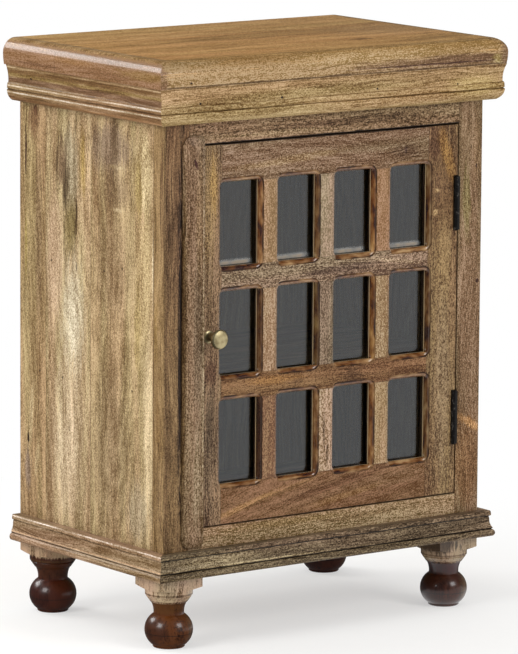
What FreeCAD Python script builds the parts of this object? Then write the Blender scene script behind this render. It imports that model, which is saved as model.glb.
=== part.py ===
import FreeCAD
import Part
import Sketcher
import math
import os
import re

# Side cabinet in solid wood with one glazed door.
# The origin is on the floor, under the middle of the whole outline. X runs to the right along
# the front, Y runs to the back and Z runs up. Every length is in millimetres.

SIZES = {
    # Carcass and top
    "overall_height": 750.0,
    "carcass_width": 504.0,
    "carcass_depth": 322.0,
    "foot_height": 93.5,
    "top_thickness": 34.0,
    "top_overhang": 23.0,
    "top_back_lip": 5.0,
    "top_edge_radius": 18.5,
    "top_belly_radius": 80.0,
    "top_belly_height": 14.0,
    "top_belly_inset": 1.4,
    "side_thickness": 18.0,
    "bottom_thickness": 18.0,
    "bottom_step": 3.5,
    "stretcher_width": 60.0,
    "stretcher_thickness": 18.0,
    "back_thickness": 6.0,
    "back_rebate": 8.0,
    "housing_depth": 6.0,
    "joint_clearance": 0.1,
    "overrun": 2.0,
    # Face frame
    "frame_thickness": 24.0,
    "frame_stile_width": 38.0,
    "frame_top_rail_height": 75.0,
    "frame_bottom_rail_height": 60.0,
    "frame_tenon_length": 28.0,
    "frame_tenon_thickness": 8.0,
    "frame_tenon_inset": 8.0,
    "frame_tenon_shoulder": 10.0,
    # Cornice under the top, in heights over its lower edge and reaches from the carcass
    "cornice_height": 46.5,
    "cornice_top_reach": 22.0,
    "cornice_cove_reach": 18.2,
    "cornice_cove_height": 24.0,
    "cornice_cove_radius": 52.0,
    "cornice_step_reach": 19.8,
    "cornice_step_height": 22.4,
    "cornice_lip_reach": 20.3,
    "cornice_lip_height": 16.4,
    "cornice_quirk_reach": 18.8,
    "cornice_quirk_height": 15.2,
    "cornice_bead_reach": 20.4,
    "cornice_bead_height": 14.0,
    "cornice_bead_radius": 16.0,
    "cornice_foot_reach": 12.2,
    # Base moulding, in heights over its lower edge and reaches from the carcass
    "base_height": 33.6,
    "base_foot_reach": 14.8,
    "base_bead_reach": 14.9,
    "base_bead_height": 8.8,
    "base_bead_radius": 5.4,
    "base_quirk_reach": 13.4,
    "base_quirk_height": 9.7,
    "base_lip_reach": 15.0,
    "base_lip_height": 10.8,
    "base_cove_radius": 18.0,
    "base_neck_reach": 11.6,
    "base_neck_height": 22.4,
    "base_groove_reach": 10.9,
    "base_groove_height": 26.2,
    "base_crown_reach": 13.0,
    "base_crown_height": 27.3,
    "base_crown_radius": 12.0,
    "base_top_reach": 12.2,
    # Turned feet, in heights over the floor
    "foot_block_width": 61.0,
    "foot_block_height": 75.2,
    "foot_shoulder_height": 78.6,
    "foot_pad_radius": 20.4,
    "foot_pad_height": 2.8,
    "foot_pad_edge": 0.8,
    "foot_ball_reach": 21.2,
    "foot_ball_height": 3.2,
    "foot_ball_radius": 24.0,
    "foot_neck_radius": 19.5,
    "foot_neck_height": 42.8,
    "foot_flare_radius": 26.0,
    "foot_flare_reach": 22.6,
    "foot_flare_height": 58.0,
    "foot_ring_reach": 23.8,
    "foot_ring_height": 58.8,
    "foot_bell_reach": 28.8,
    "foot_bell_height": 65.8,
    "foot_groove_reach": 28.2,
    "foot_groove_height": 66.8,
    "foot_collar_reach": 30.2,
    "foot_collar_height": 68.0,
    "foot_bolt_radius": 4.0,
    "foot_bolt_length": 60.0,
    "corner_block_width": 45.0,
    # Shelf
    "shelf_thickness": 18.0,
    "shelf_setback": 3.0,
    "shelf_side_gap": 2.0,
    "shelf_pin_radius": 2.5,
    "shelf_pin_depth": 10.0,
    "shelf_pin_reach": 9.0,
    "shelf_pin_collar": 3.4,
    "shelf_pin_collar_thickness": 1.2,
    "shelf_pin_edge": 45.0,
    # Door
    "door_gap": 2.0,
    "door_proud": 0.3,
    "door_thickness": 20.0,
    "door_stile_width": 48.0,
    "door_top_rail_height": 48.5,
    "door_bottom_rail_height": 51.0,
    "mid_rail_height": 32.0,
    "muntin_width": 31.0,
    "lattice_depth": 9.5,
    "door_tenon_length": 30.0,
    "door_tenon_thickness": 6.0,
    "door_tenon_inset": 4.0,
    "door_tenon_shoulder": 9.0,
    "mid_tenon_length": 22.0,
    "stub_tenon_length": 9.0,
    "stub_tenon_thickness": 3.0,
    "stub_tenon_shoulder": 9.0,
    "ovolo_radius": 5.6,
    "ovolo_ledge": 0.9,
    "ovolo_quirk": 0.6,
    "router_bearing_radius": 5.0,
    # Glazing
    "glass_gap": 2.5,
    "glass_thickness": 3.0,
    "glass_clearance": 0.5,
    "rebate_width": 8.0,
    # Closing strip on the free edge of the door
    "strip_width": 30.0,
    "strip_thickness": 6.5,
    "strip_overlap": 11.0,
    "strip_top_reach": 13.0,
    "strip_bottom_reach": 25.5,
    "strip_corner_radius": 13.0,
    "strip_bevel_width": 9.0,
    "strip_bevel_depth": 4.2,
    # Hinges
    "hinge_length": 69.0,
    "hinge_upper_inset": 102.0,
    "hinge_lower_inset": 100.0,
    "knuckle_radius": 4.2,
    "knuckle_gap": 0.4,
    "hinge_pin_radius": 1.6,
    "hinge_pin_play": 0.05,
    "hinge_pin_head_radius": 2.6,
    "hinge_pin_head_height": 1.0,
    "barrel_proud": 2.0,
    "leaf_thickness": 1.5,
    "leaf_width": 20.0,
    "leaf_screw_inset": 12.4,
    "leaf_screw_pitch": 24.0,
    # Screws
    "screw_head_radius": 2.7,
    "screw_head_height": 1.4,
    "screw_shank_radius": 1.5,
    "screw_length": 14.0,
    "screw_play": 0.05,
    "top_screw_head_radius": 4.0,
    "top_screw_head_height": 2.6,
    "top_screw_shank_radius": 2.0,
    "top_screw_length": 38.0,
    # Knob
    "knob_length": 27.7,
    "knob_inset": 28.0,
    "knob_flange_radius": 8.0,
    "knob_flange_height": 1.4,
    "knob_flange_crown": 2.6,
    "knob_stem_radius": 4.4,
    "knob_stem_height": 4.2,
    "knob_stem_top": 12.0,
    "knob_neck_radius": 11.0,
    "knob_under_reach": 9.8,
    "knob_under_height": 20.4,
    "knob_head_radius": 12.4,
    "knob_rim_height": 22.2,
    "knob_rim_top": 24.8,
    "knob_face_reach": 11.0,
    "knob_face_height": 26.2,
    "knob_dome_radius": 42.0,
    "knob_crown_reach": 1.2,
    "knob_screw_radius": 2.0,
    "knob_screw_engagement": 12.0,
    "knob_screw_head_radius": 4.0,
    "knob_screw_head_height": 2.4,
    # Catch
    "strike_width": 14.0,
    "strike_height": 32.0,
    "strike_thickness": 1.2,
    "strike_edge": 2.0,
    "catch_gap": 0.3,
    "catch_height": 44.0,
    "catch_flange": 5.0,
    "catch_depth": 14.0,
    "catch_side_gap": 2.0,
    "catch_step": 10.0,
    "catch_screw_pitch": 28.0,
    "magnet_wall": 3.0,
    "magnet_depth": 9.0,
    "magnet_proud": 0.3,
}

TOP_SCREW_SHARES = (-0.31, 0.0, 0.31)
COLUMNS = 4
ROWS = 3
KNUCKLES = 5

# Places that follow from the sizes
PLACES = {
    "front": "(door_proud + knob_length - carcass_depth - top_back_lip) / 2",
    "back": "front + carcass_depth",
    "side": "carcass_width / 2",
    "inner_side": "side - side_thickness",
    "frame_back": "front + frame_thickness",
    "inner_back": "back - back_thickness",
    "top_under": "overall_height - top_thickness",
    "bottom_top": "opening_bottom - bottom_step",
    "bottom_under": "bottom_top - bottom_thickness",
    "stretcher_under": "top_under - stretcher_thickness",
    "opening_side": "side - frame_stile_width",
    "opening_top": "top_under - frame_top_rail_height",
    "opening_bottom": "foot_height + frame_bottom_rail_height",
    "door_side": "opening_side - door_gap",
    "door_top": "opening_top - door_gap",
    "door_bottom": "opening_bottom + door_gap",
    "door_middle": "(door_top + door_bottom) / 2",
    "door_face": "front - door_proud",
    "door_back": "door_face + door_thickness",
    "lattice_back": "door_face + lattice_depth",
    "lights_side": "door_side - door_stile_width",
    "lights_top": "door_top - door_top_rail_height",
    "lights_bottom": "door_bottom + door_bottom_rail_height",
    "light_width": f"(2 * lights_side - {COLUMNS - 1} * muntin_width) / {COLUMNS}",
    "light_height": f"(lights_top - lights_bottom - {ROWS - 1} * mid_rail_height) / {ROWS}",
    "column_pitch": "light_width + muntin_width",
    "row_pitch": "light_height + mid_rail_height",
    "moulding_reach": "ovolo_radius + ovolo_ledge",
    "glass_front": "lattice_back + glass_gap",
    "glass_back": "glass_front + glass_thickness",
    "rebate_side": "lights_side + rebate_width",
    "rebate_top": "lights_top + rebate_width",
    "rebate_bottom": "lights_bottom - rebate_width",
    "shelf_middle": "lights_bottom + light_height + mid_rail_height / 2",
    "shelf_top": "shelf_middle + shelf_thickness / 2",
    "shelf_under": "shelf_middle - shelf_thickness / 2",
    "foot_centre": "foot_block_width / 2",
    "pin_x": "opening_side - knuckle_radius",
    "pin_y": "front - barrel_proud",
    "leaf_end": "pin_y + leaf_width",
    "leaf_screw_y": "pin_y + leaf_screw_inset",
    "knuckle_length": f"hinge_length / {KNUCKLES}",
    "upper_hinge": "door_top - hinge_upper_inset",
    "lower_hinge": "door_bottom + hinge_lower_inset",
    "knob_x": "knob_inset - door_side",
    "strike_left": "strike_edge - door_side",
    "strike_right": "strike_left + strike_width",
    "strike_face": "door_back + strike_thickness",
    "magnet_face": "strike_face + catch_gap",
    "catch_face": "magnet_face + magnet_proud",
    "catch_left": "catch_side_gap - inner_side",
    "catch_back": "frame_back + catch_depth",
    "catch_screw_x": "catch_left + catch_step / 2",
    "catch_screw_y": "frame_back + catch_flange",
}

WORD = re.compile(r"[a-z][a-z_]*")
ALONG_X = FreeCAD.Rotation(FreeCAD.Vector(0, 1, 0), 90)
AGAINST_X = FreeCAD.Rotation(FreeCAD.Vector(0, 1, 0), -90)
AGAINST_Y = FreeCAD.Rotation(FreeCAD.Vector(1, 0, 0), 90)
UPWARDS = FreeCAD.Rotation()

document = FreeCAD.newDocument("side_cabinet")
sheet = document.addObject("Spreadsheet::Sheet", "Sizes")
nodes = {}


def fill_sheet():
    """Write every driving size into the sheet under its own name."""
    for row, (name, size) in enumerate(SIZES.items(), start=1):
        sheet.set(f"A{row}", name.replace("_", " "))
        sheet.set(f"B{row}", str(size))
        sheet.setAlias(f"B{row}", name)
    document.recompute()


def formula(text):
    """Turn a sum of size and place names into an expression over the sheet."""
    def swap(match):
        word = match.group(0)
        if word == "sqrt":
            return word
        if word in PLACES:
            return "(" + formula(PLACES[word]) + ")"
        if word in SIZES:
            return "Sizes." + word
        raise ValueError("unknown size: " + word)
    return WORD.sub(swap, text)


def value(text):
    """Work a formula out as a number of millimetres."""
    return float(sheet.evalExpression(formula(text)))


def bind(thing, target, text):
    thing.setExpression(target, formula(text))


def place(thing, x="0", y="0", z="0", rotation=UPWARDS):
    """Put an object at a point that follows the sheet."""
    thing.Placement = FreeCAD.Placement(FreeCAD.Vector(value(x), value(y), value(z)), rotation)
    bind(thing, "Placement.Base.x", x)
    bind(thing, "Placement.Base.y", y)
    bind(thing, "Placement.Base.z", z)


def keep(thing, label):
    """Name a finished piece, which is written out under that name."""
    thing.Label = label
    nodes[label] = thing
    return thing


# Sketches

def new_body(name):
    return document.addObject("PartDesign::Body", name)


def new_sketch(body, plane, offset):
    """Sketch on a plane of the body's own origin, moved along that plane's normal."""
    sketch = body.newObject("Sketcher::SketchObject", body.Name + "_sketch")
    role = plane + "_Plane"
    origin_plane = [part for part in body.Origin.OriginFeatures if part.Role == role][0]
    sketch.AttachmentSupport = [(origin_plane, "")]
    sketch.MapMode = "FlatFace"
    bind(sketch, "AttachmentOffset.Base.z", offset)
    return sketch


def pin_point(sketch, edge, end, corner):
    """Hold one end of an edge at the place that two formulas give."""
    for kind, text in (("DistanceX", corner[0]), ("DistanceY", corner[1])):
        rule = Sketcher.Constraint(kind, -1, 1, edge, end, value(text))
        index = sketch.addConstraint(rule)
        bind(sketch, f"Constraints[{index}]", text)


def arc_between(start, finish, radius, turn):
    """Short arc from start to finish; a turn of 1 runs anticlockwise and -1 clockwise."""
    chord = finish - start
    rise = math.sqrt(radius ** 2 - (chord.Length / 2) ** 2)
    normal = FreeCAD.Vector(-chord.y, chord.x, 0).normalize()
    centre = (start + finish) / 2 + normal * rise * turn
    first, last = (start, finish) if turn > 0 else (finish, start)
    angles = [math.atan2(point.y - centre.y, point.x - centre.x) for point in (first, last)]
    if angles[1] < angles[0]:
        angles[1] += 2 * math.pi
    circle = Part.Circle(centre, FreeCAD.Vector(0, 0, 1), radius)
    return Part.ArcOfCircle(circle, angles[0], angles[1])


def outline(sketch, corners):
    """Closed outline. A corner is (u, v), or (u, v, radius, turn) where an arc leaves it."""
    points = [FreeCAD.Vector(value(corner[0]), value(corner[1]), 0) for corner in corners]
    edges = []
    for index, corner in enumerate(corners):
        start = points[index]
        finish = points[(index + 1) % len(points)]
        if len(corner) == 2:
            edge = sketch.addGeometry(Part.LineSegment(start, finish), False)
            edges.append((edge, 1, 2))
        else:
            arc = arc_between(start, finish, value(corner[2]), corner[3])
            edge = sketch.addGeometry(arc, False)
            edges.append((edge, 1, 2) if corner[3] > 0 else (edge, 2, 1))
    for index, (edge, start_end, finish_end) in enumerate(edges):
        following = edges[(index + 1) % len(edges)]
        sketch.addConstraint(
            Sketcher.Constraint("Coincident", edge, finish_end, following[0], following[1]))
        pin_point(sketch, edge, start_end, corners[index])
        if len(corners[index]) == 4:
            radius = corners[index][2]
            rule = sketch.addConstraint(Sketcher.Constraint("Radius", edge, value(radius)))
            bind(sketch, f"Constraints[{rule}]", radius)


def rectangle(sketch, across, along):
    outline(sketch, [(across[0], along[0]), (across[1], along[0]),
                     (across[1], along[1]), (across[0], along[1])])


def rounded_rectangle(sketch, half_width, half_height, radius):
    """Rectangle about the origin with round corners."""
    outline(sketch, [
        (f"{radius} - ({half_width})", f"-({half_height})"),
        (f"{half_width} - ({radius})", f"-({half_height})", radius, 1),
        (half_width, f"{radius} - ({half_height})"),
        (half_width, f"{half_height} - ({radius})", radius, 1),
        (f"{half_width} - ({radius})", half_height),
        (f"{radius} - ({half_width})", half_height, radius, 1),
        (f"-({half_width})", f"{half_height} - ({radius})"),
        (f"-({half_width})", f"{radius} - ({half_height})", radius, 1)])


def circle(sketch, u, v, radius):
    centre = FreeCAD.Vector(value(u), value(v), 0)
    ring = Part.Circle(centre, FreeCAD.Vector(0, 0, 1), value(radius))
    edge = sketch.addGeometry(ring, False)
    pin_point(sketch, edge, 3, (u, v))
    rule = sketch.addConstraint(Sketcher.Constraint("Radius", edge, value(radius)))
    bind(sketch, f"Constraints[{rule}]", radius)


# Solid features

def pad(body, plane, low, high, draw):
    """Add a prism between two places along the normal of the plane."""
    offset = f"-({high})" if plane == "XZ" else low
    sketch = new_sketch(body, plane, offset)
    draw(sketch)
    feature = body.newObject("PartDesign::Pad", body.Name + "_pad")
    feature.Profile = sketch
    bind(feature, "Length", f"({high}) - ({low})")
    return feature


def pocket(body, plane, low, high, draw):
    """Cut a prism between two places along the normal of the plane."""
    offset = f"-({low})" if plane == "XZ" else high
    sketch = new_sketch(body, plane, offset)
    draw(sketch)
    feature = body.newObject("PartDesign::Pocket", body.Name + "_pocket")
    feature.Profile = sketch
    bind(feature, "Length", f"({high}) - ({low})")
    return feature


def turn(body, kind, corners):
    """Add or cut a body of revolution about the body's own Z axis."""
    sketch = new_sketch(body, "XZ", "0")
    outline(sketch, corners)
    feature = body.newObject("PartDesign::" + kind, body.Name + "_turning")
    feature.Profile = sketch
    feature.ReferenceAxis = (sketch, ["V_Axis"])
    feature.Angle = 360
    return feature


def board(name, x, y, z):
    """Straight board, drawn from above and padded up."""
    body = new_body(name)
    pad(body, "XY", z[0], z[1], lambda sketch: rectangle(sketch, x, y))
    return body


def edges_where(shape, test):
    """Names of the edges whose every point passes the test."""
    names = []
    for index, edge in enumerate(shape.Edges, start=1):
        if all(test(point) for point in edge.discretize(5)):
            names.append(f"Edge{index}")
    return names


def cylinder(name, radius, length, x, y, z, rotation=UPWARDS):
    solid = document.addObject("Part::Cylinder", name)
    bind(solid, "Radius", radius)
    bind(solid, "Height", length)
    place(solid, x, y, z, rotation)
    return solid


def fused(name, parts):
    result = document.addObject("Part::MultiFuse", name)
    result.Shapes = parts
    return result


def grouped(name, parts):
    result = document.addObject("Part::Compound", name)
    result.Links = parts
    return result


def cut_away(name, base, tools):
    result = document.addObject("Part::Cut", name)
    result.Base = base
    result.Tool = tools
    return result


def screws(name, places, rotation, kind, play="0"):
    """Countersunk screws from their head faces on; with play, the sockets that they fit."""
    solids = []
    for x, y, z in places:
        cone = document.addObject("Part::Cone", name + "_head")
        bind(cone, "Radius1", f"{kind}_head_radius + {play}")
        bind(cone, "Radius2", f"{kind}_shank_radius + {play}")
        bind(cone, "Height", f"{kind}_head_height")
        place(cone, x, y, z, rotation)
        shank = cylinder(name + "_shank", f"{kind}_shank_radius + {play}",
                         f"{kind}_length + {play}", x, y, z, rotation)
        solids.append(fused(name + "_one", [cone, shank]))
    return grouped(name, solids)


# Top and mouldings

def make_top():
    """Slab whose front and side edges are rounded above and drawn in a little below."""
    def edge(side, inwards):
        return [
            (f"{side} {inwards} top_belly_inset", "top_under"),
            (side, "top_under + top_belly_height"),
            (side, "overall_height - top_edge_radius"),
            (f"{side} {inwards} top_edge_radius", "overall_height")]

    right = edge("(side + top_overhang)", "-")
    left = edge("-(side + top_overhang)", "+")
    across = [
        (*left[0],),
        (*right[0], "top_belly_radius", 1), (*right[1],),
        (*right[2], "top_edge_radius", 1), (*right[3],),
        (*left[3], "top_edge_radius", 1), (*left[2],),
        (*left[1], "top_belly_radius", 1)]
    nose = edge("(front - top_overhang)", "+")
    end = "back + top_back_lip"
    along = [
        (*nose[0],), (end, "top_under"), (end, "overall_height"),
        (*nose[3], "top_edge_radius", 1), (*nose[2],), (*nose[1], "top_belly_radius", 1)]
    lengthways = new_body("top_across")
    pad(lengthways, "XZ", "front - top_overhang - overrun", end,
        lambda sketch: outline(sketch, across))
    crossways = new_body("top_along")
    reach = "(side + top_overhang + overrun)"
    pad(crossways, "YZ", f"-{reach}", reach, lambda sketch: outline(sketch, along))
    slab = document.addObject("Part::Common", "top_common")
    slab.Base = lengthways
    slab.Tool = crossways
    return slab


def cornice_outline(flip, base, height):
    """Section of the cornice, where u runs outwards from the face at base."""
    def at(reach, rise, *arc):
        u = f"{base} {flip} {reach}"
        v = f"{height} + {rise}"
        if not arc:
            return (u, v)
        return (u, v, arc[0], arc[1] if flip == "+" else -arc[1])
    return [
        at("0", "0"), at("cornice_foot_reach", "0", "cornice_bead_radius", 1),
        at("cornice_bead_reach", "cornice_bead_height"),
        at("cornice_quirk_reach", "cornice_quirk_height"),
        at("cornice_lip_reach", "cornice_lip_height"),
        at("cornice_step_reach", "cornice_step_height"),
        at("cornice_cove_reach", "cornice_cove_height", "cornice_cove_radius", -1),
        at("cornice_top_reach", "cornice_height"), at("0", "cornice_height")]


def base_outline(flip, base, height):
    """Section of the base moulding, where u runs outwards from the face at base."""
    def at(reach, rise, *arc):
        u = f"{base} {flip} {reach}"
        v = f"{height} + {rise}"
        if not arc:
            return (u, v)
        return (u, v, arc[0], arc[1] if flip == "+" else -arc[1])
    return [
        at("0", "0"), at("base_foot_reach", "0", "base_bead_radius", 1),
        at("base_bead_reach", "base_bead_height"),
        at("base_quirk_reach", "base_quirk_height"),
        at("base_lip_reach", "base_lip_height", "base_cove_radius", -1),
        at("base_neck_reach", "base_neck_height"),
        at("base_groove_reach", "base_groove_height"),
        at("base_crown_reach", "base_crown_height", "base_crown_radius", 1),
        at("base_top_reach", "base_height"), at("0", "base_height")]


def make_moulding(stem, section, reach, low, rise):
    """Front length and two side lengths, mitred where they meet at the front corners."""
    high = f"({low} + {rise})"
    out = f"({reach} + overrun)"
    front_piece = new_body(stem + "_front")
    pad(front_piece, "YZ", f"-(side + {out})", f"side + {out}",
        lambda sketch: outline(sketch, section("-", "front", low)))

    def front_mitres(sketch):
        for sign in ("", "-"):
            corners = [(f"{sign}side", "front"), (f"{sign}(side + {out})", f"front - {out}"),
                       (f"{sign}(side + {out} + overrun)", f"front - {out}"),
                       (f"{sign}(side + {out} + overrun)", "front")]
            outline(sketch, corners)
    pocket(front_piece, "XY", f"{low} - overrun", f"{high} + overrun", front_mitres)
    keep(front_piece, stem + "_front")

    for label, sign, flip in (("left", "-", "-"), ("right", "", "+")):
        piece = new_body(f"{stem}_{label}")
        pad(piece, "XZ", f"front - {out}", "back",
            lambda sketch: outline(sketch, section(flip, f"{sign}side", low)))

        def side_mitre(sketch):
            outline(sketch, [(f"{sign}side", "front"), (f"{sign}side", f"front - {out} - overrun"),
                             (f"{sign}(side + {out} + overrun)", f"front - {out} - overrun")])
        pocket(piece, "XY", f"{low} - overrun", f"{high} + overrun", side_mitre)
        keep(piece, f"{stem}_{label}")


# Carcass

def make_sides():
    for label, sign in (("left", "-"), ("right", "")):
        outer = f"{sign}side"
        inner = f"{sign}inner_side"
        name = f"side_panel_{label}"
        body = new_body(name)
        low, high = (outer, inner) if sign else (inner, outer)
        pad(body, "YZ", low, high,
            lambda sketch: rectangle(sketch, ("frame_back", "back"), ("foot_height", "top_under")))

        def inside(depth):
            """Ends of a cut of this depth into the inner face."""
            if sign:
                return (f"-(inner_side + {depth})", "overrun - inner_side")
            return ("inner_side - overrun", f"inner_side + {depth}")

        def back_rebate(sketch):
            rectangle(sketch, ("inner_back - joint_clearance", "back + overrun"),
                      ("foot_height - overrun", "top_under + overrun"))
        pocket(body, "YZ", *inside("back_rebate"), back_rebate)

        def housings(sketch):
            rectangle(sketch, ("frame_back - overrun", "inner_back"),
                      ("bottom_under - joint_clearance", "bottom_top + joint_clearance"))
            rectangle(sketch, ("frame_back - overrun", "frame_back + stretcher_width + joint_clearance"),
                      ("stretcher_under - joint_clearance", "top_under + overrun"))
            rectangle(sketch, ("inner_back - stretcher_width - joint_clearance", "inner_back"),
                      ("stretcher_under - joint_clearance", "top_under + overrun"))
        pocket(body, "YZ", *inside("(housing_depth + joint_clearance)"), housings)

        def pin_holes(sketch):
            for y in ("frame_back + shelf_pin_edge", "inner_back - shelf_pin_edge"):
                circle(sketch, y, "shelf_under - shelf_pin_radius", "shelf_pin_radius + joint_clearance")
        pocket(body, "YZ", *inside("(shelf_pin_depth + joint_clearance)"), pin_holes)
        keep(body, name)


def make_boards():
    width = ("-(inner_side + housing_depth)", "inner_side + housing_depth")
    keep(board("bottom_board", width, ("frame_back", "inner_back"), ("bottom_under", "bottom_top")),
         "bottom_board")
    back_side = "inner_side + back_rebate - joint_clearance"
    keep(board("back_panel", (f"-({back_side})", back_side), ("inner_back", "back"),
               ("foot_height", "top_under")), "back_panel")
    ranges = {
        "stretcher_front": ("frame_back", "frame_back + stretcher_width"),
        "stretcher_back": ("inner_back - stretcher_width", "inner_back")}
    for name, along in ranges.items():
        blank = board(name + "_blank", width, along, ("stretcher_under", "top_under"))
        middle = f"({along[0]} + {along[1]}) / 2"
        places = [(f"{share} * carcass_width", middle, "stretcher_under")
                  for share in TOP_SCREW_SHARES]
        sockets = screws(name + "_sockets", places, UPWARDS, "top_screw", "screw_play")
        keep(cut_away(name + "_cut", blank, sockets), name)


def top_screw_places():
    rows = ("frame_back + stretcher_width / 2", "inner_back - stretcher_width / 2")
    return [(f"{share} * carcass_width", y, "stretcher_under")
            for y in rows for share in TOP_SCREW_SHARES]


def make_top_and_screws():
    sockets = screws("top_sockets", top_screw_places(), UPWARDS, "top_screw", "screw_play")
    keep(cut_away("top_cut", make_top(), sockets), "top_slab")
    keep(screws("top_screws", top_screw_places(), UPWARDS, "top_screw"), "top_screws")


def make_face_frame():
    depth = ("front", "frame_back")
    tenon = ("front + frame_tenon_inset", "front + frame_tenon_inset + frame_tenon_thickness")
    rails = {
        "frame_top_rail": ("opening_top", "top_under"),
        "frame_bottom_rail": ("foot_height", "opening_bottom")}
    for name, (low, high) in rails.items():
        body = board(name, ("-opening_side", "opening_side"), depth, (low, high))
        reach = "(opening_side + frame_tenon_length)"
        pad(body, "XY", f"{low} + frame_tenon_shoulder", f"{high} - frame_tenon_shoulder",
            lambda sketch: rectangle(sketch, (f"-{reach}", reach), tenon))
        keep(body, name)
    for label, sign in (("left", "-"), ("right", "")):
        name = f"frame_stile_{label}"
        edges = (f"{sign}side", f"{sign}opening_side")
        body = board(name + "_blank", edges if sign else edges[::-1], depth,
                     ("foot_height", "top_under"))
        end = "(opening_side + frame_tenon_length + joint_clearance)"
        ends = (f"-{end}", "overrun - opening_side") if sign else ("opening_side - overrun", end)

        def mortises(sketch):
            for low, high in rails.values():
                rectangle(sketch, (f"{tenon[0]} - joint_clearance", f"{tenon[1]} + joint_clearance"),
                          (f"{low} + frame_tenon_shoulder - joint_clearance",
                           f"{high} - frame_tenon_shoulder + joint_clearance"))
        pocket(body, "YZ", *ends, mortises)
        if sign:
            sockets = screws("catch_sockets", catch_screw_places(), AGAINST_Y, "screw", "screw_play")
        else:
            sockets = screws("frame_hinge_sockets", hinge_screw_places("opening_side - leaf_thickness"),
                             ALONG_X, "screw", "screw_play")
        keep(cut_away(name + "_cut", body, sockets), name)


def foot_places():
    """Centre of each foot, with its label."""
    places = {}
    for along, y in (("front", "front + foot_centre"), ("back", "back - foot_centre")):
        for across, x in (("left", "foot_centre - side"), ("right", "side - foot_centre")):
            places[f"{along}_{across}"] = (x, y)
    return places


def make_feet():
    """Feet turned from the square, with a ball, a flared neck and a collar below the block."""
    for label, (x, y) in foot_places().items():
        body = new_body("foot_" + label)
        half = "foot_block_width / 2"
        pad(body, "XY", "foot_block_height", "foot_height",
            lambda sketch: rectangle(sketch, (f"-{half}", half), (f"-{half}", half)))
        corner = "foot_block_width"
        turn(body, "Groove", [
            (half, "foot_block_height - overrun"), (half, "foot_block_height"),
            (f"{half} * sqrt(2)", "foot_shoulder_height"), (corner, "foot_shoulder_height"),
            (corner, "foot_block_height - overrun")])
        turn(body, "Revolution", [
            ("0", "0"), ("foot_pad_radius - foot_pad_edge", "0"),
            ("foot_pad_radius", "foot_pad_edge"), ("foot_pad_radius", "foot_pad_height"),
            ("foot_ball_reach", "foot_ball_height", "foot_ball_radius", 1),
            ("foot_neck_radius", "foot_neck_height", "foot_flare_radius", -1),
            ("foot_flare_reach", "foot_flare_height"),
            ("foot_ring_reach", "foot_ring_height"),
            ("foot_bell_reach", "foot_bell_height"),
            ("foot_groove_reach", "foot_groove_height"),
            ("foot_collar_reach", "foot_collar_height"),
            (half, "foot_block_height"), ("0", "foot_block_height")])
        pocket(body, "XY", "foot_height - foot_bolt_length / 2 - joint_clearance", "foot_height + overrun",
               lambda sketch: circle(sketch, "0", "0", "foot_bolt_radius + joint_clearance"))
        place(body, x, y, "0")
        keep(body, "foot_" + label)


def make_foot_fixings():
    blocks = []
    bolts = []
    for label, (x, y) in foot_places().items():
        near = label.startswith("front")
        left = label.endswith("left")
        across = ("-inner_side", "corner_block_width - inner_side")
        if not left:
            across = ("inner_side - corner_block_width", "inner_side")
        along = ("frame_back", "frame_back + corner_block_width")
        if not near:
            along = ("inner_back - corner_block_width", "inner_back")
        block = board("corner_block_" + label, across, along, ("foot_height", "bottom_under"))
        pocket(block, "XY", "foot_height - overrun", "bottom_under + overrun",
               lambda sketch: circle(sketch, x, y, "foot_bolt_radius + joint_clearance"))
        blocks.append(block)
        bolts.append(cylinder("foot_bolt_" + label, "foot_bolt_radius", "foot_bolt_length", x, y,
                              "foot_height - foot_bolt_length / 2"))
    keep(grouped("corner_blocks", blocks), "foot_corner_blocks")
    keep(grouped("foot_bolt_group", bolts), "foot_bolts")


def make_shelf():
    reach = "inner_side - shelf_side_gap"
    keep(board("shelf", (f"-({reach})", reach), ("frame_back + shelf_setback", "inner_back"),
               ("shelf_under", "shelf_top")), "shelf")
    pins = []
    for sign, rotation in (("-", AGAINST_X), ("", ALONG_X)):
        for y in ("frame_back + shelf_pin_edge", "inner_back - shelf_pin_edge"):
            z = "shelf_under - shelf_pin_radius"
            tip = f"{sign}(inner_side - shelf_pin_reach)"
            rod = cylinder("shelf_pin_rod", "shelf_pin_radius", "shelf_pin_reach + shelf_pin_depth",
                           tip, y, z, rotation)
            collar = cylinder("shelf_pin_ring", "shelf_pin_collar", "shelf_pin_collar_thickness",
                              f"{sign}(inner_side - shelf_pin_collar_thickness)", y, z, rotation)
            pins.append(fused("shelf_pin", [rod, collar]))
    keep(grouped("shelf_pin_group", pins), "shelf_pins")


# Door

def light_centre(column, row):
    """Middle of one light, with the rows counted from the bottom."""
    x = f"(-lights_side + light_width / 2 + {column} * column_pitch)"
    z = f"(lights_bottom + light_height / 2 + {row} * row_pitch)"
    return x, z


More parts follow.
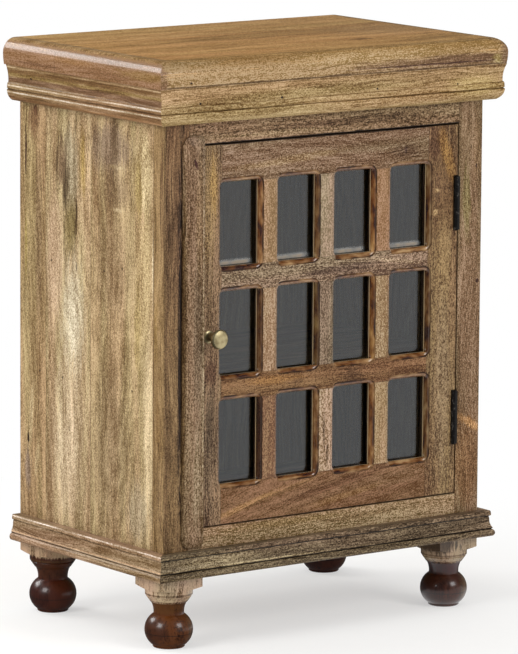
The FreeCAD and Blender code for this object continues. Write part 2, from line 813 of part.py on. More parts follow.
def make_light_cutters():
    """What the router takes off the front round every light: a ledge and a quarter round."""
    body = new_body("light_cutter")
    reach = "light_width / 2"
    rise = "light_height / 2"
    pad(body, "XZ", "-overrun", "ovolo_quirk",
        lambda sketch: rounded_rectangle(sketch, f"({reach} + moulding_reach)",
                                         f"({rise} + moulding_reach)",
                                         "(router_bearing_radius + moulding_reach)"))
    pad(body, "XZ", "0", "ovolo_quirk + ovolo_radius + overrun / 4",
        lambda sketch: rounded_rectangle(sketch, f"({reach})", f"({rise})", "router_bearing_radius"))
    document.recompute()
    quirk = value("ovolo_quirk")
    near = value(reach) + value("ovolo_ledge") / 2
    high = value(rise) + value("ovolo_ledge") / 2

    def on_inner_loop(point):
        return abs(point.y - quirk) < 1e-4 and abs(point.x) < near and abs(point.z) < high
    plain = body.Tip
    rounding = body.newObject("PartDesign::Fillet", "light_ovolo")
    rounding.Base = (plain, edges_where(plain.Shape, on_inner_loop))
    bind(rounding, "Radius", "ovolo_radius")
    body.Tip = rounding
    copies = {}
    for row in range(ROWS):
        for column in range(COLUMNS):
            copy = document.addObject("App::Link", f"light_{row}_{column}")
            copy.LinkedObject = body
            x, z = light_centre(column, row)
            place(copy, x, "door_face", z)
            copies[(row, column)] = copy
    return copies


def lights_beside(name, lights, rows, columns):
    """The cutters of these rows and columns, as one tool."""
    return grouped(name + "_lights", [lights[(row, column)] for row in rows for column in columns
                                      if (row, column) in lights])


def tenon_depths(inset, thickness, clearance="0"):
    return (f"door_face + {inset} - {clearance}", f"door_face + {inset} + {thickness} + {clearance}")


def muntin_z(row):
    low = f"(lights_bottom + {row} * row_pitch)"
    return low, f"({low} + light_height)"


def muntin_x(column):
    left = f"(-lights_side + light_width + {column} * column_pitch)"
    return left, f"({left} + muntin_width)"


def door_rails():
    """Heights of the four rails, with their depth, tenon length and tenon thickness."""
    lower = "(lights_bottom + light_height)"
    upper = "(lower_mid + row_pitch)".replace("lower_mid", lower)
    thick = ("door_back", "door_tenon_length", "door_tenon_thickness", "door_tenon_shoulder")
    thin = ("lattice_back", "mid_tenon_length", "stub_tenon_thickness", "stub_tenon_shoulder")
    return {
        "door_bottom_rail": ("door_bottom", "lights_bottom", *thick),
        "door_mid_rail_lower": (lower, f"({lower} + mid_rail_height)", *thin),
        "door_mid_rail_upper": (upper, f"({upper} + mid_rail_height)", *thin),
        "door_top_rail": ("lights_top", "door_top", *thick)}


def make_door_rails(lights):
    for above, (name, sizes) in enumerate(door_rails().items()):
        low, high, rear, length, thickness, shoulder = sizes
        body = board(name + "_blank", ("-lights_side", "lights_side"), ("door_face", rear), (low, high))
        reach = f"(lights_side + {length})"
        pad(body, "XY", f"{low} + {shoulder}", f"{high} - {shoulder}",
            lambda sketch: rectangle(sketch, (f"-{reach}", reach),
                                     tenon_depths("door_tenon_inset", thickness)))
        if name in ("door_bottom_rail", "door_top_rail"):
            edges = ("rebate_bottom", "lights_bottom + overrun")
            if name == "door_top_rail":
                edges = ("lights_top - overrun", "rebate_top")
            pocket(body, "XY", *edges,
                   lambda sketch: rectangle(sketch, ("-lights_side - overrun", "lights_side + overrun"),
                                            ("glass_front", "door_back + overrun")))

        def stubs(sketch):
            """Mortises for the muntins that stand on this rail or hang from it."""
            for column in range(COLUMNS - 1):
                left, right = muntin_x(column)
                rectangle(sketch, (f"{left} + stub_tenon_shoulder - joint_clearance",
                                   f"{right} - stub_tenon_shoulder + joint_clearance"),
                          tenon_depths("door_tenon_inset", "stub_tenon_thickness", "joint_clearance"))
        depth = "(stub_tenon_length + joint_clearance)"
        if name != "door_top_rail":
            pocket(body, "XY", f"{high} - {depth}", f"{high} + overrun", stubs)
        if name != "door_bottom_rail":
            pocket(body, "XY", f"{low} - overrun", f"{low} + {depth}", stubs)
        beside = lights_beside(name, lights, (above - 1, above), range(COLUMNS))
        keep(cut_away(name + "_cut", body, beside), name)


def make_muntins(lights):
    for row in range(ROWS):
        low, high = muntin_z(row)
        for column in range(COLUMNS - 1):
            left, right = muntin_x(column)
            name = f"muntin_{row + 1}_{column + 1}"
            body = board(name + "_blank", (left, right), ("door_face", "lattice_back"), (low, high))
            pad(body, "XY", f"{low} - stub_tenon_length", f"{high} + stub_tenon_length",
                lambda sketch: rectangle(sketch, (f"{left} + stub_tenon_shoulder",
                                                  f"{right} - stub_tenon_shoulder"),
                                         tenon_depths("door_tenon_inset", "stub_tenon_thickness")))
            beside = lights_beside(name, lights, (row,), (column, column + 1))
            keep(cut_away(name + "_cut", body, beside), name)


def make_door_stiles(lights):
    for label, sign in (("left", "-"), ("right", "")):
        name = f"door_stile_{label}"
        edges = (f"{sign}door_side", f"{sign}lights_side")
        body = board(name + "_blank", edges if sign else edges[::-1], ("door_face", "door_back"),
                     ("door_bottom", "door_top"))

        def ends(depth):
            end = f"(lights_side + {depth} + joint_clearance)"
            return (f"-{end}", "overrun - lights_side") if sign else ("lights_side - overrun", end)
        for low, high, _, length, thickness, shoulder in door_rails().values():
            pocket(body, "YZ", *ends(length),
                   lambda sketch: rectangle(sketch,
                                            tenon_depths("door_tenon_inset", thickness, "joint_clearance"),
                                            (f"{low} + {shoulder} - joint_clearance",
                                             f"{high} - {shoulder} + joint_clearance")))
        glass_edge = "(rebate_side - joint_clearance)"
        rebate = (f"-{glass_edge}", "overrun - lights_side") if sign else (
            "lights_side - overrun", glass_edge)
        pocket(body, "YZ", *rebate,
               lambda sketch: rectangle(sketch, ("glass_front", "door_back + overrun"),
                                        ("rebate_bottom", "rebate_top")))
        tools = [lights_beside(name, lights, range(ROWS), (0 if sign else COLUMNS - 1,))]
        if sign:
            tools.append(cylinder("knob_screw_hole", "knob_screw_radius + joint_clearance",
                                  "door_thickness + overrun * 2", "knob_x", "door_back + overrun",
                                  "door_middle", AGAINST_Y))
            tools.append(screws("strike_sockets", [strike_screw_place()], AGAINST_Y, "screw",
                                "screw_play"))
        else:
            cut_hinge_seats(body)
            tools.append(screws("door_hinge_sockets", hinge_screw_places("door_side"), AGAINST_X,
                                "screw", "screw_play"))
        keep(cut_away(name + "_cut", body, grouped(name + "_tools", tools)), name)


def hinge_span(middle, play="0"):
    half = f"(hinge_length / 2 + {play})"
    return f"{middle} - {half}", f"{middle} + {half}"


def cut_hinge_seats(body):
    """Seats for both door leaves, and round hollows that clear the barrels as the door turns."""
    for middle in ("upper_hinge", "lower_hinge"):
        low, high = hinge_span(middle, "knuckle_gap")
        pocket(body, "XY", low, high,
               lambda sketch: rectangle(sketch, ("door_side - leaf_thickness", "door_side + overrun"),
                                        ("door_face - overrun", "leaf_end + joint_clearance")))
        low, high = hinge_span(middle, "hinge_pin_head_height + knuckle_gap")
        pocket(body, "XY", low, high,
               lambda sketch: circle(sketch, "pin_x", "pin_y", "knuckle_radius + knuckle_gap"))


def make_closing_strip():
    """Flat strip that covers the gap on the free edge, bevelled along its outer side."""
    body = new_body("closing_strip")
    left = "(-opening_side - strip_overlap)"
    right = f"({left} + strip_width)"
    low = "(door_bottom - strip_bottom_reach)"
    high = "(door_top + strip_top_reach)"
    corner = "strip_corner_radius"
    face = "door_face - strip_thickness"
    pad(body, "XZ", face, "door_face", lambda sketch: outline(sketch, [
        (f"{left} + {corner}", low), (right, low), (right, high),
        (f"{left} + {corner}", high, corner, 1), (left, f"{high} - {corner}"),
        (left, f"{low} + {corner}", corner, 1)]))
    document.recompute()
    front_y = value(face)
    edge_x = value(left) + value(corner)

    def outer_edge(point):
        return abs(point.y - front_y) < 1e-4 and point.x < edge_x + 1e-4
    plain = body.Tip
    bevel = body.newObject("PartDesign::Chamfer", "strip_bevel")
    bevel.Base = (plain, edges_where(plain.Shape, outer_edge))
    bevel.ChamferType = "Two distances"
    bind(bevel, "Size", "strip_bevel_depth")
    bind(bevel, "Size2", "strip_bevel_width")
    body.Tip = bevel
    keep(body, "closing_strip")


def make_glazing():
    side = "rebate_side - glass_clearance"
    keep(board("glass_pane", (f"-({side})", side), ("glass_front", "glass_back"),
               ("rebate_bottom + glass_clearance", "rebate_top - glass_clearance")), "glass_pane")
    depth = ("glass_back", "door_back")
    edge = "rebate_side - joint_clearance * 2"
    rows = {
        "bottom": ("rebate_bottom + joint_clearance", "lights_bottom"),
        "top": ("lights_top", "rebate_top - joint_clearance")}
    for label, (low, high) in rows.items():
        keep(board("glazing_bead_" + label, (f"-({edge})", edge), depth, (low, high)),
             "glazing_bead_" + label)
    for label, across in (("left", (f"-({edge})", "-lights_side")), ("right", ("lights_side", edge))):
        keep(board("glazing_bead_" + label, across, depth, ("lights_bottom", "lights_top")),
             "glazing_bead_" + label)


# Hinges

def hinge_screw_places(x):
    places = []
    for middle in ("upper_hinge", "lower_hinge"):
        for step in (-1, 0, 1):
            places.append((x, "leaf_screw_y", f"{middle} + {step} * leaf_screw_pitch"))
    return places


def make_leaf(label, middle, leaf_x, own, rotation):
    """One leaf: a plate with every other knuckle of the barrel, bored for the pin."""
    body = new_body(label + "_blank")
    low, high = hinge_span(middle)
    pad(body, "XY", low, high, lambda sketch: rectangle(sketch, leaf_x, ("pin_y", "leaf_end")))

    def span(index, play):
        start = f"({low} + {index} * knuckle_length"
        return f"{start} - {play})", f"{start} + knuckle_length + {play})"
    for index in range(KNUCKLES):
        if index in own:
            continue
        pocket(body, "XY", *span(index, "0"),
               lambda sketch: circle(sketch, "pin_x", "pin_y", "knuckle_radius + knuckle_gap"))
    for index in own:
        pad(body, "XY", *span(index, "-hinge_pin_play"),
            lambda sketch: circle(sketch, "pin_x", "pin_y", "knuckle_radius"))
    pocket(body, "XY", f"{low} - overrun", f"{high} + overrun",
           lambda sketch: circle(sketch, "pin_x", "pin_y", "hinge_pin_radius + hinge_pin_play"))
    places = [place_of for place_of in hinge_screw_places(leaf_x[0 if rotation is ALONG_X else 1])
              if middle in place_of[2]]
    sockets = screws(label + "_sockets", places, rotation, "screw", "screw_play")
    keep(cut_away(label + "_cut", body, sockets), label)


def make_hinges():
    frame_leaf = ("opening_side - leaf_thickness", "opening_side")
    door_leaf = ("door_side - leaf_thickness", "door_side")
    even = range(0, KNUCKLES, 2)
    odd = range(1, KNUCKLES, 2)
    for label, middle in (("upper", "upper_hinge"), ("lower", "lower_hinge")):
        make_leaf(f"hinge_{label}_frame_leaf", middle, frame_leaf, even, ALONG_X)
        make_leaf(f"hinge_{label}_door_leaf", middle, door_leaf, odd, AGAINST_X)
    pins = []
    for middle in ("upper_hinge", "lower_hinge"):
        low, high = hinge_span(middle)
        rod = cylinder("hinge_pin_rod", "hinge_pin_radius",
                       "hinge_length + 2 * hinge_pin_head_height", "pin_x", "pin_y",
                       f"{low} - hinge_pin_head_height")
        lower = cylinder("hinge_pin_foot", "hinge_pin_head_radius", "hinge_pin_head_height",
                         "pin_x", "pin_y", f"{low} - hinge_pin_head_height")
        upper = cylinder("hinge_pin_head", "hinge_pin_head_radius", "hinge_pin_head_height",
                         "pin_x", "pin_y", high)
        pins.append(fused("hinge_pin", [rod, lower, upper]))
    keep(grouped("hinge_pin_group", pins), "hinge_pins")


# Knob, catch and small screws

def strike_screw_place():
    return ("(strike_left + strike_right) / 2", "strike_face", "door_middle")


def catch_screw_places():
    return [("catch_screw_x", "catch_screw_y", f"door_middle {sign} catch_screw_pitch / 2")
            for sign in ("-", "+")]


def make_small_screws():
    hinge = screws("frame_hinge_screws", hinge_screw_places("opening_side - leaf_thickness"),
                   ALONG_X, "screw")
    catch = screws("catch_screws", catch_screw_places(), AGAINST_Y, "screw")
    keep(grouped("carcass_screw_group", hinge.Links + catch.Links), "carcass_fitting_screws")
    leaf = screws("door_hinge_screws", hinge_screw_places("door_side"), AGAINST_X, "screw")
    strike = screws("strike_screws", [strike_screw_place()], AGAINST_Y, "screw")
    keep(grouped("door_screw_group", leaf.Links + strike.Links), "door_fitting_screws")


def make_knob():
    body = new_body("knob")
    turn(body, "Revolution", [
        ("0", "0"), ("knob_flange_radius", "0"), ("knob_flange_radius", "knob_flange_height"),
        ("knob_stem_radius + knob_flange_crown - knob_flange_height", "knob_flange_crown"),
        ("knob_stem_radius", "knob_stem_height"),
        ("knob_stem_radius", "knob_stem_top", "knob_neck_radius", -1),
        ("knob_under_reach", "knob_under_height"),
        ("knob_head_radius", "knob_rim_height"),
        ("knob_head_radius", "knob_rim_top"),
        ("knob_face_reach", "knob_face_height", "knob_dome_radius", 1),
        ("knob_crown_reach", "knob_length"), ("0", "knob_length")])
    pocket(body, "XY", "-overrun", "knob_screw_engagement + joint_clearance",
           lambda sketch: circle(sketch, "0", "0", "knob_screw_radius + joint_clearance"))
    place(body, "knob_x", "door_face", "door_middle", AGAINST_Y)
    keep(body, "knob")
    shank = cylinder("knob_screw_shank", "knob_screw_radius",
                     "door_thickness + knob_screw_engagement", "knob_x", "door_back",
                     "door_middle", AGAINST_Y)
    head = cylinder("knob_screw_head", "knob_screw_head_radius", "knob_screw_head_height",
                    "knob_x", "door_back + knob_screw_head_height", "door_middle", AGAINST_Y)
    keep(fused("knob_screw_whole", [shank, head]), "knob_screw")


def make_catch():
    """Magnetic catch behind the left frame stile, and its strike plate on the door."""
    plate = board("strike_blank", ("strike_left", "strike_right"), ("door_back", "strike_face"),
                  ("door_middle - strike_height / 2", "door_middle + strike_height / 2"))
    hole = screws("strike_plate_socket", [strike_screw_place()], AGAINST_Y, "screw", "screw_play")
    keep(cut_away("strike_cut", plate, hole), "strike_plate")
    body = new_body("catch_blank")
    span = ("door_middle - catch_height / 2", "door_middle + catch_height / 2")
    pad(body, "XY", *span, lambda sketch: outline(sketch, [
        ("catch_left", "frame_back"), ("strike_left", "frame_back"), ("strike_left", "catch_face"),
        ("strike_right", "catch_face"), ("strike_right", "catch_back"),
        ("catch_left + catch_step", "catch_back"), ("catch_left + catch_step", "catch_screw_y"),
        ("catch_left", "catch_screw_y")]))
    across = ("strike_left + magnet_wall", "strike_right - magnet_wall")
    rise = "(catch_height / 2 - magnet_wall)"
    pocket(body, "XY", f"door_middle - {rise}", f"door_middle + {rise}",
           lambda sketch: rectangle(sketch, across, ("catch_face - overrun", "catch_face + magnet_depth")))
    sockets = screws("catch_housing_sockets", catch_screw_places(), AGAINST_Y, "screw", "screw_play")
    keep(cut_away("catch_cut", body, sockets), "catch_housing")
    keep(board("catch_magnet", across, ("magnet_face", "catch_face + magnet_depth"),
               (f"door_middle - {rise}", f"door_middle + {rise}")), "catch_magnet")


# Checks and files

def check_document():
    """Stop if any object failed, any cut took nothing away or any piece isn't a sound solid."""
    for thing in document.Objects:
        if "Invalid" in thing.State or "Error" in thing.State:
            raise RuntimeError(thing.Label + " failed")
    for body in document.findObjects("PartDesign::Body"):
        last = None
        for feature in body.Group:
            if not feature.isDerivedFrom("PartDesign::Feature"):
                continue
            volume = feature.Shape.Volume
            if feature.TypeId in ("PartDesign::Pocket", "PartDesign::Groove") and volume >= last:
                raise RuntimeError(feature.Label + " cuts nothing")
            if feature.TypeId in ("PartDesign::Pad", "PartDesign::Revolution"):
                if last is not None and volume <= last:
                    raise RuntimeError(feature.Label + " adds nothing")
            last = volume
    for label, thing in nodes.items():
        shape = thing.Shape
        if shape.isNull() or not shape.isValid() or not shape.Solids:
            raise RuntimeError(label + " is not a sound solid")


def write_nodes():
    os.makedirs("parts", exist_ok=True)
    for label, thing in nodes.items():
        thing.Shape.exportStep(os.path.join("parts", label + ".step"))


def main():
    fill_sheet()
    make_top_and_screws()
    make_moulding("cornice", cornice_outline, "cornice_top_reach", "(top_under - cornice_height)",
                  "cornice_height")
    make_moulding("base", base_outline, "base_lip_reach + overrun", "foot_height", "base_height")
    make_sides()
    make_boards()
    make_face_frame()
    make_feet()
    make_foot_fixings()
    make_shelf()
    lights = make_light_cutters()
    make_door_stiles(lights)
    make_door_rails(lights)
    make_muntins(lights)
    make_closing_strip()
    make_glazing()
    make_hinges()
    make_small_screws()
    make_knob()
    make_catch()
    document.recompute()
    check_document()
    write_nodes()
    for label, thing in nodes.items():
        box = thing.Shape.BoundBox
        print(f"{label}: {len(thing.Shape.Solids)} solids, {box.XLength:.1f} x {box.YLength:.1f} x "
              f"{box.ZLength:.1f} mm")
    print(len(nodes), "nodes")


main()
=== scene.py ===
import math

import bmesh
import bpy
from bpy.props import FloatProperty, FloatVectorProperty, PointerProperty
from mathutils import Matrix, Vector


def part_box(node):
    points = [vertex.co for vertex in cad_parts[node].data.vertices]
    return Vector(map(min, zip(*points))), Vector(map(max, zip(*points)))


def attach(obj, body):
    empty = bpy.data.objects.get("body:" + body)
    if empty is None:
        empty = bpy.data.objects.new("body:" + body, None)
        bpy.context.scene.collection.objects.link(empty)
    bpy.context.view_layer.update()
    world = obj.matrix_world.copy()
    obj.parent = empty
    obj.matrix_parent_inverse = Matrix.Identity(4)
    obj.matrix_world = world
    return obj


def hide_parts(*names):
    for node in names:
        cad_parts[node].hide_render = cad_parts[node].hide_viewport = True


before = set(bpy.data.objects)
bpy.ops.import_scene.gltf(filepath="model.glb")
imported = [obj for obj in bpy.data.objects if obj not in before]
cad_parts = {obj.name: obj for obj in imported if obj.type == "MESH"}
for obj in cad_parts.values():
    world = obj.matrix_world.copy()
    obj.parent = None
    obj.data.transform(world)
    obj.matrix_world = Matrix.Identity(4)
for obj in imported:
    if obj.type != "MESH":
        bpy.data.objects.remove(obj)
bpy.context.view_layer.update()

bl_info = {
    "name": "Side cabinet",
    "version": (1, 0, 0),
    "blender": (4, 5, 0),
    "location": "View3D > Sidebar > Cabinet",
    "description": "Dresses a small mango wood side cabinet with a glazed door",
    "category": "Object",
}

# Sizes are in metres and angles in radians, but the tables of looks give millimetres and degrees.
# X runs right along the front, Y to the back and Z up.

DOOR_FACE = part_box("door_stile_left")[0].y
LIGHTS_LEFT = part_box("door_stile_left")[1].x
LIGHTS_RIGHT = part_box("door_stile_right")[0].x
LIGHTS_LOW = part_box("door_bottom_rail")[1].z
LIGHTS_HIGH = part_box("door_top_rail")[0].z
LIGHT_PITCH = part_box("muntin_1_2")[0].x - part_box("muntin_1_1")[0].x

# The mouldings of the lights, by their depth behind the front of the door. First the middle and
# half height of the painted shade in the quirk and of the painted highlight on the ledge, then the
# middle of the round part.
QUIRK_SHADE = (0.0004, 0.00034)
LEDGE_HIGHLIGHT = (0.0060, 0.0007)
ROUND_PART = 0.0032
# Where the painted shade on the wall of a light and the thick lacquer begin, and where they are full
WALL_SHADE = (0.0066, 0.0072)
THICK_LACQUER = (0.00065, 0.0008)
# Where the right side of a light ends and the left side of the next one begins, from its left side
NEXT_LIGHT = (0.076, 0.083)
# Tones of the stain in the mouldings as seen, by its place in the mottle
STAIN = ((0.35, "3a1e12"), (0.44, "6c4429"), (0.56, "906a46"), (0.70, "b8946a"))

# Textures of the wood: length along and across the grain, detail, and shift in the noise
WANDER = (0.17, 0.06, 1.0)
HUE = (0.35, 0.032, 1.0, 8.3)
BROAD = (0.30, 0.020, 2.0, 3.7)
GRIT = (0.0048, 0.0014, 1.0)
FLECK = (0.0019, 0.0015, 0.0, 5.1)
MOTTLE = (0.026, 0.009, 2.5, 2.9)
FIBRE_LENGTH = 0.075

# Camera as fitted to the photograph: its place, and its turn, tip and roll in degrees
CAMERA_PLACE = (-4.0003, -5.4294, 1.4737)
CAMERA_ANGLES = (36.4174, 9.2707, 0.3819)

# Lamps: place, the point that they look at, width and height
LAMPS = {"key": ((-3.0, -0.35, 1.75), (0.0, 0.0, 0.35), 1.3, 1.3),
         "fill": ((1.05, -3.0, 1.85), (0.0, 0.0, 0.35), 1.3, 1.3),
         "back": ((-1.5, 2.8, 2.1), (-0.2, 0.0, 0.7), 1.8, 1.1)}
# Level direction of the middle of the bright screen that shows in gloss
SCREEN_TOWARDS = (0.594, -0.804, 0.0)

WHITE = (1.0, 1.0, 1.0, 1.0)
PINK = (1.07, 0.97, 0.98, 1.0)
OLIVE = (0.97, 1.0, 0.92, 1.0)


def linear(text):
    """Linear colour of an sRGB hex value."""
    channels = [int(text[place:place + 2], 16) / 255 for place in (0, 2, 4)]
    return [c / 12.92 if c <= 0.04045 else ((c + 0.055) / 1.055) ** 2.4 for c in channels]


def colour(text):
    """Linear colour of an sRGB hex value, with the alpha that a colour socket takes."""
    return (*linear(text), 1.0)


# Settings that a user would change

class CabinetWood(bpy.types.PropertyGroup):
    ring_spacing: FloatProperty(
        name="Ring spacing", description="Distance between growth rings across the grain",
        default=0.0065, min=0.001, subtype="DISTANCE", unit="LENGTH")
    fibre_width: FloatProperty(
        name="Fibre width", description="Width of the fine streaks along the grain",
        default=0.0024, min=0.0005, subtype="DISTANCE", unit="LENGTH")
    relief: FloatProperty(
        name="Grain relief", description="Depth of the open grain under the lacquer",
        default=0.00025, min=0.0, subtype="DISTANCE", unit="LENGTH")
    roughness: FloatProperty(
        name="Lacquer roughness", description="Roughness of the satin lacquer",
        default=0.42, min=0.05, max=1.0, subtype="FACTOR")
    # This colour also draws the painted shade in the quirks of the door's mouldings
    line: FloatVectorProperty(
        name="Joint lines", description="Colour of joints, quirks and open cracks",
        subtype="COLOR", size=3, default=linear("2c1c10"))


class CabinetFittings(bpy.types.PropertyGroup):
    brass: FloatVectorProperty(
        name="Brass", description="Colour of the aged brass knob",
        subtype="COLOR", size=3, default=linear("b3a57f"))
    iron: FloatVectorProperty(
        name="Iron", description="Colour of the black painted hinges",
        subtype="COLOR", size=3, default=linear("0a0807"))
    zinc: FloatVectorProperty(
        name="Zinc", description="Colour of the zinc plated screws and bolts",
        subtype="COLOR", size=3, default=linear("b4b3ae"))
    slot_width: FloatProperty(
        name="Screw slot", description="Width of the slot across a screw head",
        default=0.0007, min=0.0002, subtype="DISTANCE", unit="LENGTH")


class CabinetGlass(bpy.types.PropertyGroup):
    tint: FloatVectorProperty(
        name="Glass tint", description="Colour that one pass through the glass leaves",
        subtype="COLOR", size=3, default=linear("b7bdbf"))
    index: FloatProperty(
        name="Refraction", description="Index of refraction of window glass",
        default=1.52, min=1.0, max=2.5)


class CabinetStage(bpy.types.PropertyGroup):
    key_power: FloatProperty(
        name="Key lamp", description="Power of the large lamp at the left front",
        default=54.0, min=0.0, unit="POWER")
    fill_power: FloatProperty(
        name="Fill lamp", description="Power of the large lamp at the right front",
        default=47.0, min=0.0, unit="POWER")
    back_power: FloatProperty(
        name="Back lamp", description="Power of the lamp that edges the top",
        default=62.0, min=0.0, unit="POWER")
    sky: FloatProperty(
        name="Room light", description="Strength of the even light from all round",
        default=0.38, min=0.0)
    overhead: FloatProperty(
        name="Overhead light", description="Strength that the room light gains towards the ceiling",
        default=0.5, min=0.0)
    screen: FloatProperty(
        name="Screen", description="Brightness of the screen that shows in gloss and glass",
        default=1.15, min=0.0)
    dim: FloatProperty(
        name="Dim studio", description="Brightness of the rest of the studio in gloss and glass",
        default=0.1, min=0.0)
    floor: FloatVectorProperty(
        name="Floor", description="Colour of the studio floor",
        subtype="COLOR", size=3, default=linear("f4f3f0"))
    focal_length: FloatProperty(
        name="Focal length", description="Lens that gives the photograph's perspective",
        default=289.84, min=20.0, unit="CAMERA")


def settings(name):
    """One of the groups of settings above, as the scene holds it."""
    return getattr(bpy.context.scene, "cabinet_" + name)


# Shader building

def plug(tree, node, inputs):
    """Link the inputs of a node that are given as sockets, and set the others."""
    for key, value in inputs.items():
        if isinstance(value, bpy.types.NodeSocket):
            tree.links.new(value, node.inputs[key])
        else:
            node.inputs[key].default_value = value


def add(tree, kind, inputs=None, stops=(), **values):
    """Add a node with its inputs, its settings and, for a colour ramp, its stops."""
    node = tree.nodes.new(kind)
    for name, value in values.items():
        setattr(node, name, value)
    plug(tree, node, inputs or {})
    if stops:
        elements = node.color_ramp.elements
        while len(elements) < len(stops):
            elements.new(1.0)
        for element, (place, shade) in zip(elements, stops):
            element.position = place
            element.color = shade
    return node


def new_material(name):
    """An empty material with a principled shader, and the coordinates that textures take."""
    material = bpy.data.materials.new(name)
    material.use_nodes = True
    tree = material.node_tree
    tree.nodes.clear()
    shader = add(tree, "ShaderNodeBsdfPrincipled")
    add(tree, "ShaderNodeOutputMaterial", {"Surface": shader.outputs[0]})
    return material, tree, shader, add(tree, "ShaderNodeTexCoord").outputs


def maths(tree, operation, first, second=0.0, third=0.0):
    """Result of one step of maths."""
    node = add(tree, "ShaderNodeMath", {0: first, 1: second, 2: third}, operation=operation)
    return node.outputs[0]


def vectors(tree, operation, first, second=(0.0, 0.0, 0.0), third=(0.0, 0.0, 0.0)):
    """Result of one step of vector maths, which for a length or a dot product is a number."""
    node = add(tree, "ShaderNodeVectorMath", {0: first, 1: second, 2: third}, operation=operation)
    return node.outputs[1 if operation in ("LENGTH", "DOT_PRODUCT") else 0]


def split_up(tree, vector):
    """Outputs X, Y and Z of a vector."""
    return add(tree, "ShaderNodeSeparateXYZ", {0: vector}).outputs


def put_together(tree, *values):
    """Vector from its values along X, Y and Z."""
    return add(tree, "ShaderNodeCombineXYZ", dict(enumerate(values))).outputs[0]


def spread(tree, value, low, high, to_low=0.0, to_high=1.0):
    """Value that passes softly from one level to another between two limits."""
    node = add(tree, "ShaderNodeMapRange", {0: value, 1: low, 2: high, 3: to_low, 4: to_high},
               interpolation_type="SMOOTHSTEP")
    return node.outputs[0]


def between(tree, factor, first, second):
    """Number between two others."""
    return add(tree, "ShaderNodeMix", {0: factor, 2: first, 3: second}, data_type="FLOAT").outputs[0]


def blended(tree, factor, under, over, mode="MIX"):
    """Colour socket of one colour laid over another."""
    mix = add(tree, "ShaderNodeMix", {0: factor, 6: under, 7: over},
              data_type="RGBA", blend_type=mode, clamp_factor=True)
    return mix.outputs[2]


def noise(tree, place, scale, detail):
    """Even noise, with its scale per metre."""
    node = add(tree, "ShaderNodeTexNoise", {"Vector": place, "Scale": scale, "Detail": detail})
    return node.outputs[0]


def stretched(tree, place, along, across, detail, shift=0.0, output=0):
    """Noise that is longer along the grain than across it, from the two lengths in metres."""
    scaled = vectors(tree, "MULTIPLY_ADD", place, (1 / along, 1 / across, 1 / across), (shift,) * 3)
    node = add(tree, "ShaderNodeTexNoise",
               {"Vector": scaled, "Scale": 1.0, "Detail": detail, "Roughness": 0.6},
               noise_dimensions="3D")
    return node.outputs[output]


def relief(tree, strength, distance, height):
    """Normal of a bumpy surface."""
    return add(tree, "ShaderNodeBump",
               {"Strength": strength, "Distance": distance, "Height": height}).outputs[0]


# Share of light and haze of gloss on each face of the cabinet, so that colours can be given as seen

LIGHT = {"front": (1.16, 0.015), "side": (1.35, 0.004), "top": (0.90, 0.014), "foot": (1.15, 0.02),
         "muntin": (1.04, 0.008), "edge": (1.3, 0.02)}


def own(seen, light):
    """Colour that a surface needs to show an sRGB hex value in the light on its face."""
    gain, haze = LIGHT[light]
    return (*[max((channel - haze) / gain, 0.004) for channel in linear(seen)], 1.0)


def tone_stops(tones, light):
    """Ramp from a third of the darkest to a third of the lightest tone, as shares of the mean."""
    dark, mean, pale = [own(tone, light)[:3] for tone in tones]
    low = [min(a / b, 1.0) for a, b in zip(dark, mean)]
    high = [max(a / b, 1.0) for a, b in zip(pale, mean)]
    shares = ([c ** 1.7 for c in low], low, [1.0] * 3, high, [c ** 1.6 for c in high])
    return [(place, (*[c / 3 for c in share], 1.0))
            for place, share in zip((0.0, 0.2, 0.5, 0.8, 1.0), shares)]


def layered(tree, base, layers):
    """Base value with textures added round their middle, each with its gain."""
    total = base - sum(gain for _, gain in layers) / 2
    for socket, gain in layers:
        total = maths(tree, "MULTIPLY_ADD", socket, gain, total)
    return total


def board_axes(tree, look, source):
    """Sockets along, across and through a board, and the same turned on the ends of a slab."""
    split = split_up(tree, source["Object"])
    lengths = [split[axis] for axis in look["axes"].upper()]
    if "ends" not in look:
        return lengths, lengths
    facing = split_up(tree, source["Normal"])
    end = spread(tree, maths(tree, "ABSOLUTE", facing["X"]), 0.55, 0.75)
    turned = [between(tree, end, length, split[axis])
              for length, axis in zip(lengths, look["ends"].upper())]
    return lengths, turned


def cut_place(tree, look, fibred, across):
    """Place in the tree that a board is cut from, and the number of the glued piece there."""
    number = None
    for joint in look.get("joints", ()):
        beyond = maths(tree, "GREATER_THAN", across, joint / 1000)
        number = beyond if number is None else maths(tree, "ADD", number, beyond)
    seed = look["seed"]
    place = add(tree, "ShaderNodeMapping",
                {0: fibred, 1: (seed * 0.731, seed * 0.417, seed * 0.293),
                 2: (0.0, 0.0, math.radians(look.get("slant", 0)))}, vector_type="POINT").outputs[0]
    if number is not None:
        steps = put_together(tree, number, number, number)
        place = vectors(tree, "MULTIPLY_ADD", steps, (0.83, 0.37, 0.51), place)
    return place, number


def mean_colour(tree, look, light, place, number):
    """Mean tone of a board, with a hue that drifts and a tint for each glued piece."""
    hue = spread(tree, stretched(tree, place, *HUE), 0.36, 0.64)
    shade = blended(tree, look.get("drift", 0.8), own(look["tones"][1], light),
                    blended(tree, hue, PINK, OLIVE), "MULTIPLY")
    if number is None:
        return shade
    tints = look["board_tints"]
    last = len(tints) - 1
    stops = [((step - 0.5) / last if step else 0.0, colour(tint)) for step, tint in enumerate(tints)]
    tint = add(tree, "ShaderNodeValToRGB", {0: maths(tree, "DIVIDE", number, last)}, stops)
    tint.color_ramp.interpolation = "CONSTANT"
    return blended(tree, 1.0, shade, tint.outputs[0], "MULTIPLY")


